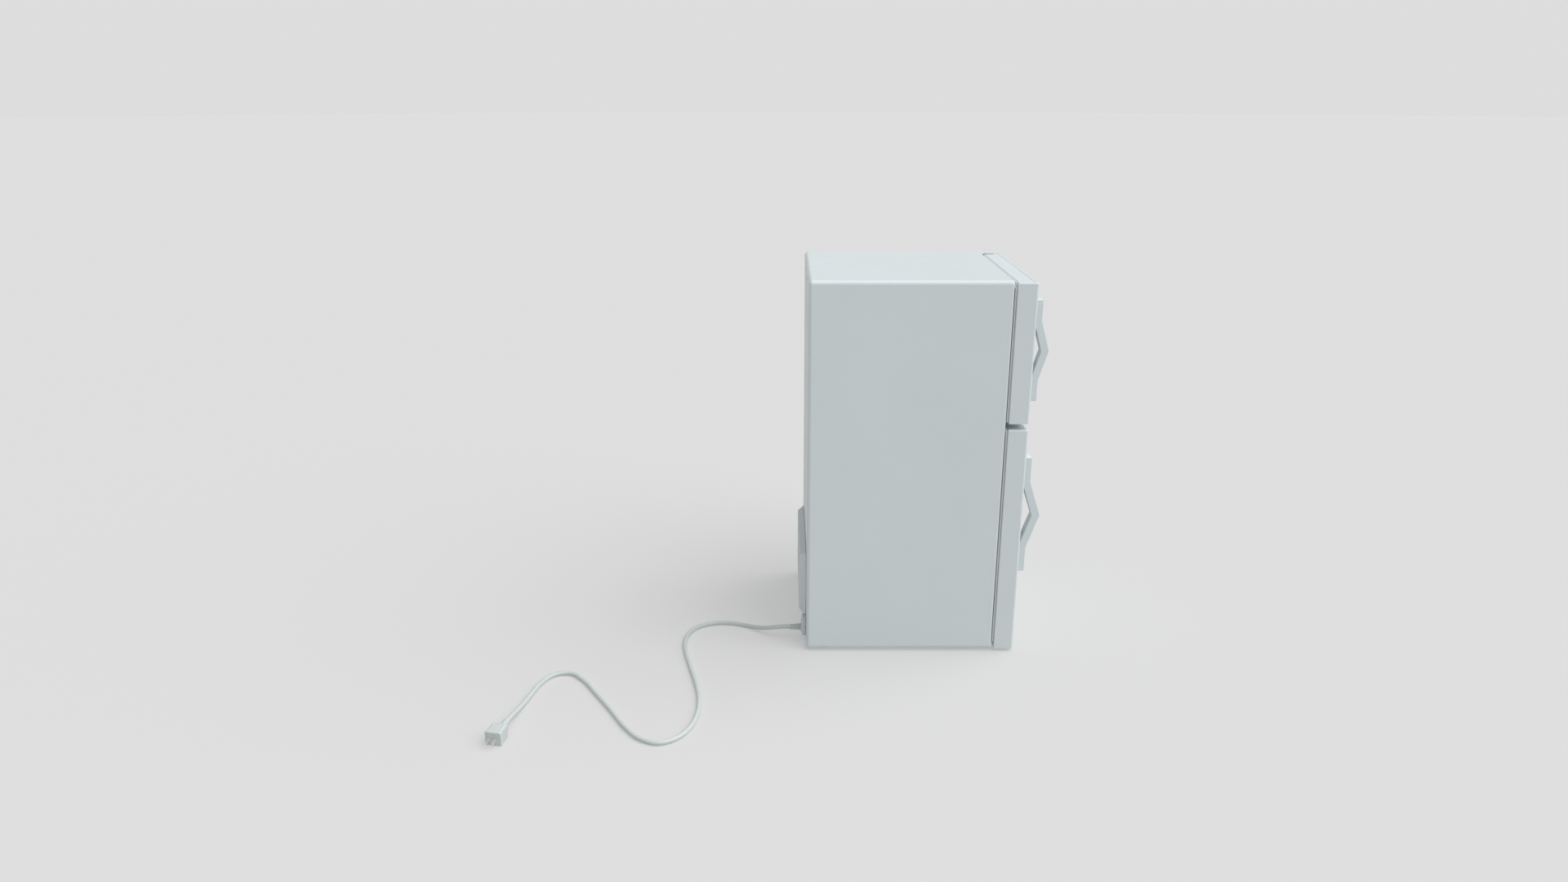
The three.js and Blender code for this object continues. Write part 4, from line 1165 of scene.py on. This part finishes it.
def wire_shelf():
    """A shelf of coated wire: a round frame, three rails below, and a row of cross wires."""
    x_limits, y_limits, (foot_z, _) = limits("freezer_shelf")
    rod, rail, wire, count = 2.5, 2, 1.5, 19
    u, v = grown(x_limits, -rod), grown(y_limits, -rod)
    loop = [Vector((*p, foot_z + rod)) for p in rounded(u, v, 10, 8)]
    frame_rod = tube("rod", [*loop, loop[0], loop[1]], rod, 12)
    rails = [tube("rail", [Vector((x, y, foot_z + rail)) for y in v], rail, 10) for x in (-110, 0, 110)]
    wires = []
    for i in range(1, count + 1):
        y = v[0] + (v[1] - v[0]) * i / (count + 1)
        wires.append(tube("wire", [Vector((x, y, foot_z + 3.4)) for x in u], wire, 10))
    return stand_in(merged("freezer_wire_shelf", [frame_rod, *rails, *wires]), "freezer_shelf")


def pane(name, node):
    """A sheet of glass with ground edges."""
    u, v, (z0, z1) = limits(node)
    steps = [(z0, 0.7, 2.4), (z0 + 0.7, 0, 3), (z1 - 0.7, 0, 3), (z1, 0.7, 2.4)]
    return stand_in(stack(name, "Z", inset_sections(u, v, steps)), node)


def glass_shelf_trim():
    """A round nose along the shelf's front, with a groove for the glass."""
    x, (front, back), (z0, z1) = limits("glass_shelf_trim")
    groove, gap0, gap1 = front + 4.8, z0 + 3.8, z1 - 1.8
    outline = [(back, z0 + 0.6), (back, gap0), (groove, gap0), (groove, gap1), (back, gap1), (back, z1)]
    outline += [(front + 5, z1), *arc((front + 5, (z0 + z1) / 2), 5, 90, 270, 10), (back - 3, z0)]
    trim = prism("glass_shelf_nose", "X", outline, x)
    return stand_in(trim, "glass_shelf_trim", edge=0.35, steps=2)


def drawer():
    """The crisper drawer: a tub that narrows downwards, and a finger grip across its front."""
    u, (grip_y, far), (z0, z1) = limits("crisper_drawer")
    front, draft = grip_y + 10, 3
    v = (front, far)
    sections = [(z0, grown(u, -draft - 3), grown(v, -draft - 2), 8)]
    sections += inset_sections(u, v, [
        (z0 + 1, draft + 1, 8), (z0 + 4, draft, 9), (z1 - 9, 1, 9), (z1 - 8, 0, 9), (z1, 0, 9), (z1, 3.4, 7),
        (z0 + 6, draft + 2.4, 7), (z0 + 2.6, draft + 6, 6),
    ])
    stand_in(stack("crisper_tub", "Z", sections), "crisper_drawer", edge=0.4, steps=2)
    grip = [(1.5, -2), (-7, -3), (-9.8, -6), (-9.8, -15), (-7.6, -15), (-7, -7), (1.5, -6)]
    grip = prism("crisper_grip", "X", [(front + y, z1 + z) for y, z in grip], (-70, 70))
    dress(grip, slot_of["crisper_drawer"], 0.5, 3, "crisper_drawer")


def thermostat_housing():
    """The control housing on the wall, and raised ticks round its knob, each longer than the last."""
    (face, wall), u, v = limits("thermostat_housing")
    steps = [(wall, 0, 8), (face + 3, 1.6, 8), (face + 0.8, 2.6, 7.4), (face, 4.4, 6.5)]
    stand_in(stack("control_housing", "X", inset_sections(u, v, steps)), "thermostat_housing")
    _, y, z = limits("thermostat_knob")
    reach = (y[1] - y[0]) / 2 + 4.2
    for i in range(7):
        angle = radians(90 + 45 * (i - 3))
        long = 1.4 + 0.25 * i
        places = (face + 0.6, face - 0.35)
        tick = slab(f"control_tick_{i + 1}", "X", places, (-long, long), (-0.5, 0.5), 0.4, steps=2)
        place = Vector((0, middle(y) - reach * cos(angle), middle(z) + reach * sin(angle))) * MM
        tick.data.transform(Matrix.Translation(place) @ Matrix.Rotation(pi - angle, 4, "X"))
        dress(tick, "black_plastic")


def thermostat_knob():
    """The ribbed knob and its pointer."""
    (tip, foot_x), y_limits, z_limits = limits("thermostat_knob")
    y, z, deep = middle(y_limits), middle(z_limits), foot_x - tip
    r = y_limits[1] - y

    def ribbed(angle, along):
        return 1 - 0.04 * (cos(20 * angle) > 0) if 5 < along < deep - 1.2 else 1

    profile = [(0.1, 0), (r - 0.6, 0), (r, 0.6), (r, 3), (r - 1.4, 4), (r - 4.6, 4.6), (r - 5, 5.4)]
    profile += [(r - 5.6, deep - 2), (r - 6.4, deep - 0.6), (r - 8, deep)]
    profile += [(4, deep - 0.5), (0.1, deep - 0.5)]
    knob = turned("control_knob", profile, (foot_x, y, z), (-1, 0, 0), 80, ribbed)
    stand_in(knob, "thermostat_knob")
    pointer = stack("knob_pointer", "X", [
        (tip + 2, (y - 1.3, y + 1.3), (z + 2, z + r - 2), 1),
        (foot_x - 3, (y - 1.6, y + 1.6), (z + 2, z + r - 1.5), 1),
    ], steps=3)
    dress(pointer, slot_of["thermostat_knob"], 0.4, 2, body_of["thermostat_knob"])


def lens():
    """The lamp's ribbed lens."""
    (face, wall), u, v = limits("lamp_lens")
    steps = [(wall, 0, 6), (face + 3, 0.8, 6), (face + 1, 2, 5), (face + 0.4, 4, 4)]
    stand_in(stack("lamp_cover", "X", inset_sections(u, v, steps)), "lamp_lens")
    for i in range(7):
        y = u[0] + 12 + i * (u[1] - u[0] - 24) / 6
        rib = [(face + 1, (y - 1.6, y + 1.6), grown(v, -7), 1.5)]
        rib.append((face + 0.1, (y - 0.6, y + 0.6), grown(v, -8), 0.5))
        dress(stack(f"lamp_cover_rib_{i + 1}", "X", rib, steps=3), slot_of["lamp_lens"])


def switch_button():
    """The light switch's plunger, and the collar that it slides in."""
    x, (tip, foot_y), z = limits("light_switch_button")
    r, length = (x[1] - x[0]) / 2, foot_y - tip
    profile = [(0.1, 0), (r, 0), (r, length - 3)]
    profile += [(r - 0.4, length - 1.8), (r - 1.4, length - 0.6), (1.2, length), (0.1, length)]
    plunger = turned("door_switch_plunger", profile, (middle(x), foot_y, middle(z)), (0, -1, 0), 32)
    stand_in(plunger, "light_switch_button")
    profile = [(r + 0.4, -1), (r + 3.4, -1), (r + 3.4, 0.7), (r + 2.8, 1.2), (r + 0.4, 1.2)]
    place = (middle(x), front_y, middle(z))
    collar = turned("door_switch_collar", profile, place, (0, -1, 0), count=32, loop=True)
    dress(collar, "black_plastic", 0.15, 2)


def evaporator():
    """A roll-bonded plate: two sheets with a channel blown between them, on four studs."""
    u, (face, back), v = limits("evaporator_plate")
    plate = slab("evaporator_sheet", "Y", (face + 0.6, face + 2), u, v, 8)
    stand_in(plate, "evaporator_plate", edge=0.3, steps=2)
    rows, reach, pitch = 7, 118, 24
    corners = []
    for row in range(rows):
        z = v[0] + 22 + row * pitch
        side = 1 if row % 2 else -1
        corners += [(side * reach, face + 1.2, z), (-side * reach, face + 1.2, z)]
        if row < rows - 1:
            corners.append((-side * (reach + 9), face + 1.2, z + pitch / 2))
    channel = tube("evaporator_channel", smooth_route(corners, 4), 2.6, 12)
    dress(channel, "evaporator_aluminium")
    for i, (x, z) in enumerate((x, z) for x in (-138, 138) for z in (v[0] + 10, v[1] - 10)):
        profile = [(0.1, 0), (5, 0), (4.4, 9), (0.1, 9)]
        stud = turned(f"evaporator_stud_{i + 1}", profile, (x, back, z), (0, -1, 0), 20)
        dress(stud, "liner_plastic")
        screw(f"evaporator_screw_{i + 1}", (x, face + 0.7, z), (0, -1, 0), 3)


wire_shelf()
pane("glass_shelf_pane", "glass_shelf")
pane("crisper_cover_pane", "crisper_cover")
glass_shelf_trim()
drawer()
thermostat_housing()
thermostat_knob()
lens()
switch_button()
evaporator()


# ---- Hinge screws, relay, and the CAD nodes that are shown themselves ----

def hinge_screws():
    """The screws of the bottom and middle hinges."""
    z = limits("bottom_hinge")[2][0] + 0.2
    for i, y in enumerate((front_y + 14, front_y + 38)):
        screw(f"bottom_hinge_screw_{i + 1}", (HINGE_AXIS[0] - 9, y, z), (0, 0, -1))
    z = middle(limits("middle_hinge")[2])
    screw("middle_hinge_screw", (half_width - 20, front_y - 2.6, z), (0, -1, 0), 2.6)


def relay():
    """The start relay's cover, ribbed at the back."""
    u, v, (z0, z1) = limits("start_relay_box")
    sections = inset_sections(u, v, [
        (z0, 1, 3), (z0 + 1, 0, 4), (z1 - 12, 0, 4), (z1 - 11.4, 0.8, 4), (z1 - 1, 0.8, 4), (z1, 2, 3),
    ])
    stand_in(stack("relay_cover", "Z", sections), "start_relay_box", edge=0.3, steps=2)
    rib_v, places = (v[1] - 1, v[1] + 0.9), (z0 + 6, z1 - 16)
    for i in range(5):
        x = u[0] + 5 + i * 6
        rib = slab(f"relay_rib_{i + 1}", "Z", places, (x - 1, x + 1), rib_v, 0.5, steps=2)
        dress(rib, "black_plastic")


hinge_screws()
relay()

for node_name, node in frame["nodes"].items():
    if node_name not in replaced:
        node.data.materials.clear()
        node.data.materials.append(finishes[slot_of[node_name]])
        finish_edges(node, 0.5, 3)


# ---- Floor, light and finish ----

BACKDROP = linear(221, 221, 221)[0]
HORIZON_BAND = 0.18  # sine of the height up to which the surroundings stay as bright as the floor
MID_SKY = 0.05
OVERHEAD_BAND = (0.55, 0.85)
OVERHEAD = 0.87
KEY_STRENGTH = 2.7
KEY_SPREAD = 70  # degrees
KEY_TOWARDS = (-0.15, -0.58, 0.8)


def floor():
    """A disc wide enough to reach the horizon."""
    count = 64
    angles = [2 * pi * i / count for i in range(count)]
    radii = [0.1, *(1000 * 2**i for i in range(7))]
    points = [(r * cos(a), r * sin(a), 0) for r in radii for a in angles]
    faces = [*loft_faces(len(radii), count, ends=False), tuple(range(count))]
    obj = make("studio_floor", points, faces, facing=(0, 0, 1))
    f = Finish("floor_paint", (151, 151, 151), 0.85, Specular_IOR_Level=0.1)
    f.set(Emission_Color=(1, 1, 1, 1), Emission_Strength=0.35).bump((160, 2), 0.05)
    f.tint((2, 3), 0.015).gloss((20, 3), 0.8, 0.9)
    obj.data.materials.append(f.material)


def ramp(tree, source, start, end, low, high):
    """A smooth step of a value from one level to another."""
    node = add_node(
        tree, "ShaderNodeMapRange", From_Min=start, From_Max=end, To_Min=low, To_Max=high, Value=source,
    )
    node.interpolation_type = "SMOOTHSTEP"
    return node.outputs["Result"]


def surroundings():
    """Even light all round, as bright as the floor along the horizon, dim above it, bright overhead."""
    world = bpy.data.worlds.new("studio")
    world.use_nodes = True
    tree = world.node_tree
    place = tree.nodes.new("ShaderNodeTexCoord").outputs["Generated"]
    up = add_node(tree, "ShaderNodeSeparateXYZ", Vector=place).outputs["Z"]
    total = tree.nodes.new("ShaderNodeMath")
    total.operation = "ADD"
    tree.links.new(ramp(tree, up, HORIZON_BAND, HORIZON_BAND + 0.15, BACKDROP, MID_SKY), total.inputs[0])
    tree.links.new(ramp(tree, up, *OVERHEAD_BAND, 0, OVERHEAD), total.inputs[1])
    set_inputs(tree, tree.nodes["Background"], Color=(1, 1, 1, 1), Strength=total.outputs["Value"])
    bpy.context.scene.world = world


def key_light():
    """A very broad light from above the doors, a little on the handles' side."""
    data = bpy.data.lights.new("key", "SUN")
    data.energy = KEY_STRENGTH
    data.angle = radians(KEY_SPREAD)
    light = bpy.data.objects.new("key", data)
    light.rotation_euler = Vector(KEY_TOWARDS).to_track_quat("Z", "Y").to_euler()
    bpy.context.scene.collection.objects.link(light)


floor()
surroundings()
key_light()
bpy.context.scene.view_settings.view_transform = "Standard"

bpy.context.view_layer.update()
